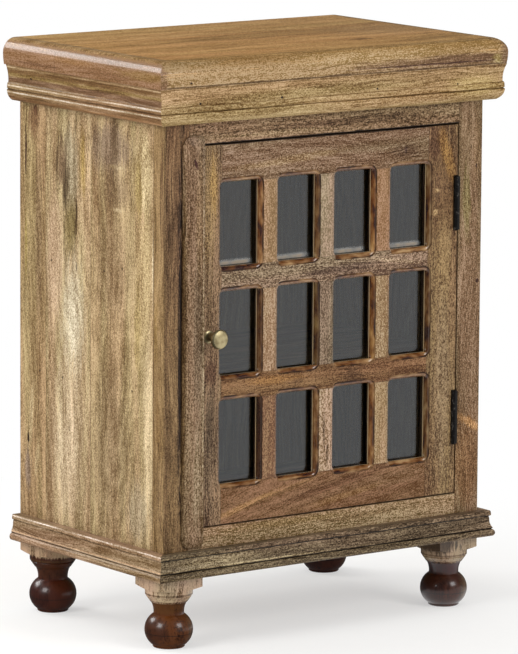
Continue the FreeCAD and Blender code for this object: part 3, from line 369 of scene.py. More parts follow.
def marked(tree, shade, marks, board, fray, light):
    """Streaks, knots, sapwood, holes, painted shade and painted highlights: rounded patches of another
    colour, frayed by the grain.
    """
    for tint, centre, radii, turned, strength, softness in marks:
        tint, face = tint if isinstance(tint, tuple) else (tint, light)
        centre = (*centre, 0.0)[:3]
        radii = (*radii, LONG)[:3]
        patch = add(tree, "ShaderNodeMapping",
                    {0: board, 1: tuple(value / 1000 for value in centre),
                     2: (0.0, 0.0, math.radians(turned)), 3: tuple(value / 1000 for value in radii)},
                    vector_type="TEXTURE")
        reach = vectors(tree, "LENGTH", patch.outputs[0])
        frayed = maths(tree, "MULTIPLY_ADD", fray, min(softness, 0.9), reach)
        cover = spread(tree, frayed, 1.0 - softness * 0.7, 1.0 + softness * 0.4, strength, 0.0)
        shade = blended(tree, cover, shade, own(tint, face))
    return shade


def edge_darkening(tree, source, low, high, look):
    """Amount of darkening along the outline of a board, on the faces beside each outline edge."""
    edge = look.get("edge", 0.0009)
    away = vectors(tree, "SUBTRACT", source["Object"], (low + high) / 2)
    away = vectors(tree, "ABSOLUTE", away)
    near = vectors(tree, "MULTIPLY_ADD", away, (1 / edge,) * 3,
                   tuple(1 - size / edge for size in (high - low) / 2))
    near = vectors(tree, "MAXIMUM", near)
    facing = vectors(tree, "ABSOLUTE", source["Normal"])
    sideways = vectors(tree, "SUBTRACT", (1.0, 1.0, 1.0), facing)
    edge_dark = vectors(tree, "DOT_PRODUCT", near, sideways)
    return spread(tree, edge_dark, 0.1, 1.1, 0.0, look.get("edge_dark", 0.5))


def routed_colour(tree, shade, rough, board, line, look, source):
    """Colour, roughness and lacquer of the routed mouldings round the lights.

    They took stain and lacquer deeply. The pale line on the flat ledge inside them is a painted
    highlight. Those on the left of each light, and those that face down, are painted paler, as lit,
    and the left ones are nearly the colour of the face beside them.
    """
    facing = split_up(tree, source["Normal"])
    split = split_up(tree, source["Object"])
    depth = maths(tree, "SUBTRACT", split["Y"], DOOR_FACE)
    mottle = stretched(tree, board, *MOTTLE)
    stain = add(tree, "ShaderNodeValToRGB", {0: mottle},
                [(place, own(tint, "front")) for place, tint in STAIN])
    stained = blended(tree, 1.0, stain.outputs[0], colour(look.get("stain", "ffffff")), "MULTIPLY")

    # Stain of a moulding, painted paler by its place in its light and the way it faces, as lit
    past = maths(tree, "FLOORED_MODULO", maths(tree, "SUBTRACT", split["X"], LIGHTS_LEFT), LIGHT_PITCH)
    right = spread(tree, past, *NEXT_LIGHT, 1.0, 0.12)
    below = spread(tree, facing["Z"], -0.6, -0.2, 0.6, 1.0)
    stain_and_painted_light = maths(tree, "MULTIPLY", right, below)
    away = maths(tree, "ABSOLUTE", maths(tree, "SUBTRACT", depth, ROUND_PART))
    curved = maths(tree, "MULTIPLY", spread(tree, away, 0.0029, 0.0031, 0.94, 0.0), stain_and_painted_light)

    # The quirk gets painted shade, drawn wider than its 0.6 mm, so that it shows as a dark outline
    uneven = spread(tree, mottle, 0.4, 0.6, 0.9, 0.3)
    quirk_shade = maths(tree, "MULTIPLY", maths(tree, "COMPARE", depth, *QUIRK_SHADE), uneven)
    quirk_shade = maths(tree, "MULTIPLY", quirk_shade, stain_and_painted_light)
    # The pale line on the ledge is a painted highlight
    ledge_highlight = maths(tree, "MULTIPLY", maths(tree, "COMPARE", depth, *LEDGE_HIGHLIGHT), 0.9)

    # Painted shade, near black, on the walls: they lie between the outer lights, and none faces the
    # back
    wall_shade = spread(tree, depth, *WALL_SHADE, 0.0, 0.9)
    wall_shade = maths(tree, "MULTIPLY", wall_shade, maths(tree, "LESS_THAN", facing["Y"], 0.5))
    for axis, start, end in (("X", LIGHTS_LEFT, LIGHTS_RIGHT), ("Z", LIGHTS_LOW, LIGHTS_HIGH)):
        inside = maths(tree, "COMPARE", split[axis], (start + end) / 2, (end - start) / 2 + 0.0005)
        wall_shade = maths(tree, "MULTIPLY", wall_shade, inside)

    for cover, over in ((curved, stained), (quirk_shade, line), (ledge_highlight, own("c9b089", "front")),
                        (wall_shade, colour("1c110a"))):
        shade = blended(tree, cover, shade, over)
    coat = spread(tree, depth, *THICK_LACQUER, look.get("coat", 0.08), 0.9)
    return shade, maths(tree, "MULTIPLY_ADD", curved, -0.2, rough), coat


def wood(name, look, low, high):
    """Lacquered mango wood for one board, or for several that are glued edge to edge.

    The look gives the axes along, across and through the board, its dark, mean and light tone as
    seen, the heart of the tree beside it, and the marks that show on it, in millimetres.
    """
    grown = settings("wood")
    line = (*grown.line, 1.0)
    light = look.get("light", "front")
    material, tree, shader, source = new_material(name)
    lengths, turned = board_axes(tree, look, source)
    board = put_together(tree, *lengths)
    across = lengths[1]
    place, number = cut_place(tree, look, put_together(tree, *turned), across)

    # The grain wanders a few millimetres to each side
    wander = stretched(tree, place, *WANDER, output=1)
    bend = vectors(tree, "MULTIPLY_ADD", wander, (0.0, 0.030, 0.030), (0.0, -0.015, -0.015))
    grain = vectors(tree, "ADD", place, bend)
    heart_across, heart_below, lean = look.get("heart", (60, 25, 0.06))
    log = add(tree, "ShaderNodeMapping",
              {0: vectors(tree, "ADD", board, bend),
               1: (0.0, -heart_across / 1000, heart_below / 1000), 2: (0.0, lean, 0.0)},
              vector_type="POINT")
    rings = add(tree, "ShaderNodeTexWave",
                {"Vector": log.outputs[0], "Scale": math.pi / 10 / grown.ring_spacing,
                 "Distortion": 1.6, "Detail": 2.0, "Detail Scale": 0.35},
                wave_type="RINGS", rings_direction="X", wave_profile="SIN").outputs[1]
    broad = stretched(tree, grain, *BROAD)
    fibre = stretched(tree, grain, FIBRE_LENGTH, grown.fibre_width, 2.0)
    grit = stretched(tree, grain, *GRIT)
    fleck = stretched(tree, place, *FLECK)

    shade = mean_colour(tree, look, light, place, number)
    fray = layered(tree, 0.0, [(fibre, 2.6), (broad, 1.2), (grit, 0.8)])
    shade = marked(tree, shade, look.get("marks", ()), board, fray, light)

    # The figure of the wood, from late wood to early wood
    figure = look.get("figure", 1.0)
    fine = figure * look.get("fine", 1.0)
    tone = layered(tree, 0.5, [
        (broad, figure * look.get("broad", 1.0)), (fibre, 1.2 * figure * look.get("streaks", 1.0)),
        (grit, 1.4 * fine), (fleck, 1.3 * fine), (rings, look.get("rings", 0.1))])
    if "quiet_ends" in look:
        # The ends of the top and the sides of a stile are smoother than the other faces
        facing = split_up(tree, source["Normal"])
        less = spread(tree, maths(tree, "ABSOLUTE", facing["X"]), 0.3, 0.8, 1.0, look["quiet_ends"])
        tone = maths(tree, "MULTIPLY_ADD", maths(tree, "SUBTRACT", tone, 0.5), less, 0.5)
    ramp = add(tree, "ShaderNodeValToRGB", {0: tone}, tone_stops(look["tones"], light))
    shade = vectors(tree, "MULTIPLY", shade, ramp.outputs[0])
    shade = vectors(tree, "MULTIPLY", shade, (3.0, 3.0, 3.0))

    # Pores are short dark dashes, drawn coarser than the real ones so that they show
    pores = spread(tree, grit, 0.64, 0.8, 0.0, look.get("pores", 0.22))
    shade = blended(tree, pores, shade, line)
    for joint in look.get("joints", ()):
        seam = maths(tree, "COMPARE", across, joint / 1000, 0.0004)
        shade = blended(tree, maths(tree, "MULTIPLY", seam, 0.45), shade, line)
    shade = blended(tree, edge_darkening(tree, source, low, high, look), shade, line)

    gloss = grown.roughness + look.get("rougher", 0.0)
    rough = spread(tree, fibre, 0.25, 0.75, gloss - 0.06, gloss + 0.10)
    coat = look.get("coat", 0.08)
    if "routed" in look:
        shade, rough, coat = routed_colour(tree, shade, rough, board, line, look, source)
    height = maths(tree, "MULTIPLY_ADD", pores, -1.2, fibre)
    plug(tree, shader, {
        "Base Color": shade, "Roughness": rough, "Normal": relief(tree, 0.6, grown.relief, height),
        "Coat Weight": coat, "Coat Roughness": look.get("coat_roughness", 0.25), "IOR": 1.5,
        "Specular IOR Level": look.get("specular", 0.12)})
    return material


# The boards: axes along, across and through, tones as seen, and marks in millimetres. A mark gives
# its colour, centre, radii, turn in degrees, strength and softness. The colour comes with a face
# where the mark is seen on another face than that of the board's tones.

# Radius of a mark that runs right across a board
LONG = 5000
HIDDEN = {"rougher": 0.15, "coat": 0.0, "fine": 0.3, "tones": ("6b5338", "937657", "b39771")}
# The boards of the door have routed mouldings under thick, glassy lacquer
ROUTED = {"routed": True, "coat_roughness": 0.06}

LOOKS = {
    "top_slab": {
        "axes": "xyz", "ends": "yzx", "light": "top", "tones": ("97723f", "aa834f", "bb9560"),
        "seed": 3, "heart": (-60, 18, 0.05), "rings": 0.12, "joints": (61,), "drift": 0.5,
        "board_tints": ("fbf4ec", "ffffff"), "coat": 0.34, "coat_roughness": 0.13, "edge_dark": 0.0,
        "pores": 0.15, "figure": 1.75, "quiet_ends": 0.6,
        "marks": (
            ("8c683a", (40, 22), (210, 32), 2, 0.75, 0.6),
            ("7a5630", (104, -84), (16, 8), 10, 0.8, 0.6),
            ("6d4a26", (104, -84), (6, 3), 10, 0.7, 0.6),
            ("97713f", (-150, -60), (130, 18), 0, 0.6, 0.7),
            ("98744a", (215, -10), (110, 70), 0, 0.7, 0.8),
            ("88663a", (225, -120), (90, 26), 8, 0.5, 0.7),
            (("a5804f", "edge"), (0, -166, 743), (LONG, 12, 12), 0, 0.95, 0.35),
            (("8a6741", "edge"), (-130, -166, 741), (90, 12, 10), 0, 0.7, 0.8),
            (("b28d5a", "edge"), (200, -166, 743), (90, 12, 12), 0, 0.7, 0.8),
            (("9b7f59", "edge"), (-250, -168, 743), (80, 14, 12), 0, 0.8, 0.7),
            # The front, pale on the left and banded purple brown below on the right
            (("a5855b", "front"), (0, -195, 700), (LONG, 60, 50), 0, 1.0, 0.3),
            (("b8996d", "front"), (40, -182, 738), (120, 26, 12), 0, 0.7, 0.7),
            (("84664a", "front"), (165, -178, 724), (175, 26, 8.5), 0, 0.9, 0.8),
            (("6b4c34", "front"), (215, -178, 727), (75, 26, 5), 0, 0.7, 0.8),
            (("4c2f1a", "front"), (160, -178, 722.5), (160, 26, 1.1), 0, 0.85, 0.7),
            (("b6a06a", "front"), (268, -178, 722), (16, 26, 9), 0, 0.7, 0.6),
            (("35210f", "front"), (-228, -172, 722), (1.6, 4, 1.4), 0, 0.9, 0.3),
            # Painted shade in the gap between the top and the cornice
            (("513a22", "front"), (60, -172, 717.2), (LONG, 26, 1.2), 0, 0.75, 0.6),
            # The rims and ends: the left one is pinkish brown
            (("a07f55", "edge"), (-261, 0, 750), (10, LONG, 7), 0, 0.9, 0.5),
            (("a07f55", "edge"), (261, 0, 750), (10, LONG, 7), 0, 0.9, 0.5),
            (("906a49", "side"), (-300, 0, 725), (36, LONG, 80), 0, 1.0, 0.2),
            (("7e5a3b", "side"), (-276, -60, 724), (14, 90, 5), 0, 0.6, 0.7),
            (("8f6e40", "side"), (-276, -140, 730), (14, 60, 7), 0, 0.7, 0.8),
            (("ad8259", "side"), (-276, 30, 735), (14, 70, 4), 0, 0.5, 0.8),
            (("6b4a30", "side"), (-276, 100, 722), (14, 60, 3), 0, 0.6, 0.8),
            (("8a6a4a", "side"), (300, 0, 725), (36, LONG, 80), 0, 1.0, 0.2))},
    "cornice_front": {
        "axes": "xzy", "tones": ("80643f", "aa8f66", "c6ab82"), "seed": 5, "heart": (700, 40, 0.02),
        "fine": 0.75,
        "marks": (
            ("b79f68", (225, 692), (46, 16), 0, 0.6, 0.7),
            ("8d6f4b", (140, 706), (150, 7), 0, 0.55, 0.7),
            ("8a6b45", (-205, 700), (50, 9), 0, 0.5, 0.7),
            # Painted shade under the lip of the cove, in the quirk, and in the gap under the top
            ("6d4f30", (0, 692.2), (LONG, 0.7), 0, 0.6, 0.7),
            ("5f4429", (0, 684.2), (LONG, 0.8), 0, 0.7, 0.7),
            ("70532f", (0, 714.4), (LONG, 1.0), 0, 0.6, 0.7),
            ("2f1c0e", (-211, 695), (1.7, 1.5), 0, 0.95, 0.3),
            ("2f1c0e", (-85, 695), (1.7, 1.7), 0, 0.95, 0.3),
            ("2f1c0e", (66, 696), (1.5, 1.5), 0, 0.95, 0.3),
            ("2f1c0e", (196, 694), (1.4, 1.4), 0, 0.8, 0.3))},
    "cornice_left": {
        "axes": "yzx", "light": "side", "tones": ("644828", "8a6c49", "b09470"), "seed": 6,
        "heart": (720, 30, 0.03), "coat": 0.2, "fine": 0.4, "figure": 0.8,
        "marks": (
            # Painted shade across the cove, with a lighter band between
            ("74532f", (0, 709), (LONG, 3.5), 0, 0.8, 0.7),
            ("8e7341", (0, 703.5), (LONG, 2.5), 0, 0.6, 0.7),
            ("74543d", (0, 697.5), (LONG, 4), 0, 0.8, 0.7),
            # Painted highlights on the arrises, brightest near the front, and painted shade in the
            # quirk
            ("c9ab80", (0, 713.4), (LONG, 0.9), 0, 0.5, 0.7),
            ("cbb292", (0, 689.4), (LONG, 1.1), 0, 0.7, 0.6),
            ("e2d2c0", (-130, 689.4), (50, 1.3), 0, 0.7, 0.7),
            ("5a3e22", (0, 684.0), (LONG, 1.0), 0, 0.7, 0.7),
            ("d0bb9f", (0, 681.0), (LONG, 1.1), 0, 0.75, 0.6),
            ("a5764c", (0, 672.5), (LONG, 2.4), 0, 0.5, 0.7),
            ("2f1c0e", (120, 702), (2.0, 1.6), 0, 0.9, 0.3))},
    "cornice_right": {
        "axes": "yzx", "light": "side", "tones": ("6b4f2d", "92734f", "b69a76"), "seed": 7,
        "heart": (720, 30, 0.03)},
    "base_front": {
        "axes": "xzy", "tones": ("423528", "665644", "88765f"), "seed": 8, "fine": 0.85,
        "heart": (140, 30, 0.02), "edge_dark": 0.75,
        "marks": (
            ("8f7d5f", (-170, 112), (70, 12), 0, 0.5, 0.8),
            ("5f5140", (190, 112), (90, 14), 0, 0.6, 0.8),
            # Painted shade in the grooves of the moulding
            ("281c11", (0, 120.4), (LONG, 1.1), 0, 0.9, 0.6),
            ("281c11", (0, 103.6), (LONG, 1.1), 0, 0.9, 0.6),
            ("a5906c", (-120, 105.8), (160, 0.9), 0, 0.5, 0.7))},
    "base_left": {
        "axes": "yzx", "light": "side", "tones": ("6f5335", "997d5f", "bda184"), "seed": 9,
        "fine": 0.5, "heart": (140, 30, 0.02), "edge_dark": 0.7,
        "marks": (
            # A painted highlight on the top arris, and painted shade in the grooves
            ("dec9b2", (0, 125.4), (LONG, 0.9), 0, 0.8, 0.5),
            ("4f3a24", (0, 120.2), (LONG, 0.8), 0, 0.75, 0.6),
            ("c59c70", (0, 105.8), (LONG, 0.9), 0, 0.7, 0.6),
            ("4f3a24", (0, 103.4), (LONG, 0.8), 0, 0.75, 0.6),
            ("86644a", (90, 112), (80, 6), 0, 0.5, 0.8))},
    "base_right": {
        "axes": "yzx", "light": "side", "tones": ("6f5335", "95785a", "b99c7f"), "seed": 10,
        "heart": (140, 30, 0.02)},
    "side_panel_left": {
        "axes": "zyx", "light": "side", "tones": ("8a7150", "ad9673", "cdb590"), "seed": 11,
        "fine": 0.85, "broad": 1.6, "streaks": 0.7, "heart": (-53, 14, -0.10), "rings": 0.16,
        "joints": (12, 113), "board_tints": ("f2efe4", "fdfdf7", "e8e2d3"),
        "marks": (
            # Front board: grey brown with pale arcs, olive and sapwood to its front edge
            ("86705a", (628, -32), (34, 46), 0, 0.85, 0.6),
            ("8e7659", (576, -45), (28, 30), 0, 0.7, 0.7),
            ("9c8362", (480, -40), (70, 40), 0, 0.5, 0.8),
            ("97805f", (240, -30), (110, 46), 0, 0.6, 0.8),
            ("c6b084", (604, -104), (62, 19), 3, 0.85, 0.5),
            ("ad955c", (577, -94), (40, 9), 2, 0.7, 0.8),
            ("bfa678", (470, -106), (90, 20), 0, 0.75, 0.6),
            ("a48d56", (400, -92), (60, 8), 0, 0.5, 0.7),
            ("c4ad84", (280, -116), (130, 12), 0, 0.8, 0.6),
            ("a5967b", (170, -92), (40, 26), 0, 0.5, 0.8),
            ("e3d0a9", (481, -127), (62, 4), 0, 0.85, 0.5),
            ("c7b088", (605, -45), (2.6, 20), 0, 0.5, 0.7),
            ("c7b088", (551, -46), (2.6, 16), 0, 0.6, 0.7),
            # Middle board: a dark knot streak with olive edges, an orange streak, pink and white wood
            ("ba9d7d", (470, 92), (90, 21), 0, 0.8, 0.6),
            ("a09478", (590, 58), (60, 20), 0, 0.7, 0.7),
            ("715840", (596, 78), (36, 13), -4, 0.85, 0.7),
            ("5c4a33", (564, 68), (30, 6), -8, 0.85, 0.7),
            ("7d6c40", (512, 57), (42, 14), -4, 0.8, 0.7),
            ("54401f", (505, 71), (30, 1.8), -2, 0.7, 0.7),
            ("4a351e", (530, 44), (26, 2.6), -3, 0.8, 0.6),
            ("3b2814", (467, 44), (7, 1.6), 0, 0.9, 0.5),
            ("a88c4c", (600, 30), (44, 7), 0, 0.75, 0.8),
            ("d0c2a4", (400, 52), (80, 24), 0, 0.75, 0.8),
            ("c9b290", (245, 64), (110, 34), 0, 0.75, 0.8),
            # Rear board: a dark seam, a reddish streak, a slanted pale streak and knots
            ("3a2010", (603, 159), (34, 2.4), 0, 0.95, 0.5),
            ("3c2412", (659, 137), (8, 4.5), 12, 1.0, 0.35),
            ("745339", (646, 142), (28, 15), 0, 0.8, 0.7),
            ("8b6c4e", (585, 119), (50, 2.2), 0, 0.7, 0.6),
            ("a59050", (485, 159), (40, 3), 0, 0.6, 0.7),
            ("94795c", (500, 130), (120, 8), 0, 0.5, 0.7),
            ("c3ac82", (262, 147), (44, 4.5), -4, 0.85, 0.5),
            ("c3ac82", (205, 134), (26, 4), -9, 0.7, 0.6),
            ("8f7b6c", (190, 155), (30, 7), 0, 0.7, 0.7),
            ("32200f", (230, 153.5), (6.5, 2.6), 4, 0.95, 0.4),
            # Small dots
            ("3b2814", (469, 101), (1.6, 1.5), 0, 0.9, 0.3),
            ("3b2814", (470, -18), (1.4, 1.6), 0, 0.8, 0.3),
            ("3b2814", (478, -58), (2.2, 1.8), 0, 0.8, 0.4),
            ("3b2814", (322, 127), (1.5, 1.5), 0, 0.9, 0.3),
            ("3b2814", (320, 75), (1.8, 1.5), 0, 0.8, 0.3),
            ("3b2814", (325, -80), (1.8, 1.5), 0, 0.9, 0.3),
            ("4b3820", (256, 60), (4.5, 1.0), 3, 0.8, 0.4))},
    "side_panel_right": {
        "axes": "zyx", "light": "side", "tones": ("8a7150", "ad9470", "ceb68e"), "seed": 12,
        "fine": 0.5, "heart": (30, 16, 0.08), "rings": 0.16, "joints": (-40, 66),
        "board_tints": ("e9dccb", "fbf4e8", "e4d3b8"),
        "marks": (("82694c", (480, 20), (110, 22), 2, 0.6, 0.7),
                  ("d2bd92", (380, -90), (220, 16), 2, 0.6, 0.6),
                  ("4a3320", (560, 110), (9, 5), 0, 0.85, 0.5))},
    "back_panel": dict(HIDDEN, axes="zxy", seed=13, heart=(20, 60, 0.04), figure=0.6, drift=0.4),
    "bottom_board": dict(HIDDEN, axes="xyz", seed=14),
    "stretcher_front": dict(HIDDEN, axes="xyz", seed=15),
    "stretcher_back": dict(HIDDEN, axes="xyz", seed=16),
    "foot_corner_blocks": dict(HIDDEN, axes="zxy", seed=17),
    "shelf": dict(HIDDEN, axes="xyz", seed=18),
    "frame_stile_left": {
        "axes": "zxy", "tones": ("513e2d", "735a42", "957859"), "seed": 19, "quiet_ends": 0.8,
        "fine": 0.5, "heart": (-236, 30, 0.03),
        "marks": (
            ("5c4636", (520, -236), (110, 12), 0, 0.5, 0.7),
            ("8c7150", (180, -238), (60, 9), 0, 0.5, 0.7),
            # Painted shadow of the closing strip, to its left
            ("2c1f15", (391, -227), (270, 4.4), 0, 0.9, 0.8),
            # The side of the stile, lighter, orange brown behind and purple brown in front
            (("937650", "side"), (400, -262, 0), (LONG, 11.5, LONG), 0, 1.0, 0.15),
            (("96763f", "side"), (420, -262, -132), (90, 12, 6), 0, 0.7, 0.6),
            (("7d5f49", "side"), (560, -262, -145), (120, 12, 8), 0, 0.7, 0.6),
            (("a07c4e", "side"), (300, -262, -136), (70, 12, 7), 0, 0.6, 0.7),
            (("846a50", "side"), (190, -262, -142), (70, 12, 9), 0, 0.6, 0.7))},
    "frame_stile_right": {
        "axes": "zxy", "tones": ("5e4933", "7b634a", "988065"), "seed": 20,
        "heart": (240, 40, 0.04),
        "marks": (
            ("7d5a3c", (190, 232), (66, 24), 0, 0.7, 0.7),
            ("b88a5c", (244, 240), (6, 22), 30, 0.8, 0.7),
            ("7f7047", (532, 228), (50, 8), 0, 0.6, 0.7),
            ("97795a", (600, 243), (40, 7), 0, 0.5, 0.7),
            ("3a2415", (432, 247), (3.2, 2.6), 0, 0.85, 0.4),
            ("3a2415", (583, 243), (2.4, 1.6), 0, 0.85, 0.4),
            (("93795a", "side"), (400, 262, 0), (LONG, 11.5, LONG), 0, 1.0, 0.15))},
    "frame_top_rail": {
        "axes": "xzy", "tones": ("58442f", "80674e", "9f8569"), "seed": 21,
        "heart": (660, 26, 0.03),
        # Painted shade in the gap over the door, along the lower edge
        "marks": (("2a1a0e", (0, 641), (LONG, 1.1), 0, 0.95, 0.4),
                  ("3a2415", (-120, 650), (1.5, 1.5), 0, 0.9, 0.3),
                  ("5d4634", (20, 655), (160, 5), 1, 0.6, 0.7),
                  ("937a5a", (-80, 648), (90, 4), 0, 0.5, 0.7))},
    "frame_bottom_rail": {
        "axes": "xzy", "tones": ("78613f", "a08568", "bba181"), "seed": 22, "fine": 1.25,
        "heart": (120, 30, 0.02),
        "marks": (("7a5d3e", (60, 142), (60, 4), 2, 0.5, 0.6),
                  ("9a8055", (-60, 147), (80, 4), 0, 0.5, 0.7))},
    "closing_strip": {
        "axes": "zxy", "tones": ("5d4934", "7a644e", "967f66"), "seed": 23,
        "heart": (-190, 22, 0.02),
        "marks": (("3d2612", (617, -208), (8, 2.4), -24, 0.95, 0.4),
                  ("6d5d4a", (400, -205), (120, 8), 0, 0.5, 0.7),
                  ("8d7152", (560, -202), (90, 7), 0, 0.5, 0.7),
                  ("978468", (220, -206), (70, 7), 0, 0.5, 0.7),
                  # Painted shade on the left side of the strip, and a painted highlight on its right
                  # edge
                  ("54402b", (390, -224), (260, 2.6), 0, 0.8, 0.5),
                  ("a89274", (391, -196.4), (258, 1.3), 0, 0.6, 0.5))},
    "door_stile_left": {
        "axes": "zxy", "tones": ("5a4534", "7d6850", "988064"), "seed": 24,
        "heart": (-150, 30, 0.03),
        "marks": (
            ("8d7350", (560, -182), (90, 14), 0, 0.75, 0.7),
            ("a3824f", (590, -177), (46, 6), 0, 0.6, 0.7),
            ("6d5c49", (260, -181), (90, 14), 0, 0.7, 0.7),
            ("5c4234", (350, -180), (17, 11), 0, 0.75, 0.6),
            ("4d4034", (285, -184), (40, 6), 0, 0.55, 0.7),
            ("5e4a33", (430, -183), (44, 6), 0, 0.5, 0.7),
            # Painted shade along the right edge of the closing strip
            ("3a2818", (391, -194), (262, 1.3), 0, 0.7, 0.5))},
    "door_stile_right": {
        "axes": "zxy", "tones": ("5e4732", "80674c", "9a7f5e"), "seed": 25, "stain": "c6cccc",
        "heart": (240, 16, -0.12),
        "marks": (
            ("644a36", (560, 188), (130, 34), 0, 0.8, 0.7),
            ("654a38", (620, 174), (30, 14), 0, 0.85, 0.6),
            ("9a7446", (602, 194), (36, 9), -18, 0.7, 0.7),
            ("6e5440", (560, 180), (22, 12), 0, 0.6, 0.7),
            ("8f7452", (470, 190), (60, 14), 0, 0.6, 0.7),
            ("8a735a", (300, 190), (130, 15), 0, 0.6, 0.7),
            ("a88a64", (555, 178), (3.4, 5), 0, 0.75, 0.5),
            ("a88a64", (527, 176), (4.6, 4.6), 0, 0.75, 0.5),
            ("65503c", (549, 178), (3, 4), 0, 0.6, 0.6))},
    "door_top_rail": {
        "axes": "xzy", "tones": ("604832", "7e664f", "9a836b"), "seed": 26,
        "heart": (560, 20, 0.06), "rings": 0.16,
        # Painted shade in the gap above the door, along its top edge
        "marks": (("2a1a0e", (0, 639), (LONG, 0.8), 0, 0.9, 0.4),
                  ("35200f", (127, 612), (2.6, 4.5), 0, 0.9, 0.5),
                  ("5f493a", (128, 611), (20, 9), 0, 0.5, 0.7),
                  ("a58863", (-60, 612), (80, 6), 4, 0.5, 0.7))},
    "door_bottom_rail": {
        "axes": "xzy", "tones": ("67482e", "7d5f45", "926f54"), "seed": 27, "slant": -12,
        "broad": 1.4, "heart": (120, 20, 0.14), "rings": 0.16, "drift": 0.3,
        "marks": (
            ("a27d53", (-120, 176), (64, 5), 15, 0.7, 0.7),
            ("9c7950", (-66, 188), (60, 4), 13, 0.6, 0.7),
            ("59402d", (-86, 182), (62, 3), 14, 0.6, 0.7),
            ("604330", (14, 186), (84, 6), 10, 0.6, 0.7),
            ("967550", (40, 172), (70, 4), 9, 0.6, 0.7),
            ("84694e", (124, 186), (60, 10), 6, 0.5, 0.7),
            ("4a3320", (96, 201), (12, 2.4), 0, 0.6, 0.7))},
    "door_mid_rail_upper": {
        "axes": "xzy", "tones": ("604b3b", "7f6b56", "9f8972"), "seed": 28, "fine": 1.25,
        "heart": (440, 16, 0.05), "rings": 0.16,
        "marks": (("ae9678", (110, 470), (40, 3), -8, 0.7, 0.7),
                  ("56443a", (20, 466), (60, 6), 4, 0.6, 0.7))},
    "door_mid_rail_lower": {
        "axes": "xzy", "tones": ("634631", "7f6145", "967455"), "seed": 29,
        "heart": (360, 16, 0.04),
        "marks": (("57402f", (44, 328), (16, 9), 0, 0.7, 0.7),
                  ("57402f", (-44, 329), (14, 9), 0, 0.5, 0.7),
                  ("9c7346", (-80, 333), (50, 6), 0, 0.6, 0.7))},
    "glazing_bead_bottom": dict(HIDDEN, axes="xzy", seed=70),
    "glazing_bead_top": dict(HIDDEN, axes="xzy", seed=71),
    "glazing_bead_left": dict(HIDDEN, axes="zxy", seed=72),
    "glazing_bead_right": dict(HIDDEN, axes="zxy", seed=73),
}

# Muntins: dark, mean and light tone of the face, and how dark the stain of the moulding is
MUNTIN_TONES = {
    "3_1": ("8c6e50", "a08264", "b09175", "fffaf4"), "3_2": ("86745c", "98856e", "a9947d", "c8c6b8"),
    "3_3": ("806040", "907153", "a08164", "f6ecd4"), "2_1": ("8a6b50", "9f8368", "b0957b", "9e907a"),
    "2_2": ("645341", "7b6b58", "917f6a", "a09e88"), "2_3": ("826447", "987c5e", "ae9477", "e0d3b0"),
    "1_1": ("6f503c", "84644c", "967559", "5c483a"), "1_2": ("7a6246", "9e856a", "b59d84", "dcd8cc"),
    "1_3": ("866a4b", "9b7f5f", "ae9374", "f4ecd6")}
MUNTIN = {"axes": "zxy", "light": "muntin", "heart": (200, 22, 0.05), "figure": 1.2, "fine": 1.25}
STREAKED_MUNTIN = {"muntin_1_2": (("5b4632", (262, -1), (24, 2.2), 0, 0.7, 0.6),
                                  ("5b4632", (228, 4), (16, 2.0), 0, 0.7, 0.6))}

# Feet: the tone of block, neck and ball, of the painted reflection on the right side of the ball,
# and the height up to which the wood is dark
FEET = {
    "foot_front_left": ("c2aa8f", "624229", "643f27", "6a5140", 60),
    "foot_front_right": ("ab957b", "432919", "4a3222", "6f5c49", 60),
    "foot_back_left": ("b49a7c", "523618", "52331a", "593e26", 75),
    "foot_back_right": ("b49a7c", "523618", "52331a", "593e26", 75),
}


def look_of(node):
    """The look of a board from the tables above."""
    if node.startswith("muntin"):
        row, column = [int(part) for part in node.split("_")[1:]]
        *tones, stain = MUNTIN_TONES[f"{row}_{column}"]
        return dict(MUNTIN, **ROUTED, tones=tones, stain=stain, seed=50 + 3 * row + column,
                    marks=STREAKED_MUNTIN.get(node, ()))
    look = LOOKS[node]
    return dict(look, **ROUTED) if node.startswith("door_") else look


def visible_box(node):
    """Outline of a board as it shows, without the tenons that are housed in its neighbours."""
    low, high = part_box(node)
    if node.startswith(("door_top", "door_bottom", "door_mid")):
        low.x, high.x = LIGHTS_LEFT, LIGHTS_RIGHT
    if node.startswith("frame") and node.endswith("rail"):
        low.x, high.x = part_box("frame_stile_left")[1].x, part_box("frame_stile_right")[0].x
    if node.startswith("muntin"):
        light_height = LIGHTS_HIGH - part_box("door_mid_rail_upper")[1].z
        stub = (high.z - low.z - light_height) / 2
        low.z, high.z = low.z + stub, high.z - stub
    return low, high


def wood_of(node):
    """The wood of one board, with its look and its outline."""
    return wood("mango_wood_" + node, look_of(node), *visible_box(node))


# Pieces

def new_object(name, data):
    """A new object in the scene."""
    piece = bpy.data.objects.new(name, data)
    bpy.context.scene.collection.objects.link(piece)
    return piece


def give(piece, material):
    """Put one material on the whole of a piece."""
    piece.data.materials.clear()
    piece.data.materials.append(material)


def finished_copy(node, material, body, sharp=32):
    """Copy of a node with its loose triangles joined, smooth where its faces turn less than sharp.

    The copy rides on its body and replaces the node.
    """
    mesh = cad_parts[node].data.copy()
    mesh.name = node + "_finished"
    work = bmesh.new()
    work.from_mesh(mesh)
    bmesh.ops.remove_doubles(work, verts=work.verts, dist=1e-6)
    bmesh.ops.dissolve_degenerate(work, edges=work.edges, dist=1e-7)
    for face in work.faces:
        face.smooth = True
    for edge in work.edges:
        edge.smooth = len(edge.link_faces) == 2 and edge.calc_face_angle(0.0) < math.radians(sharp)
    work.to_mesh(mesh)
    work.free()
    piece = new_object(node + "_finished", mesh)
    give(piece, material)
    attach(piece, body)
    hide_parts(node)
    return piece


# Other finishes

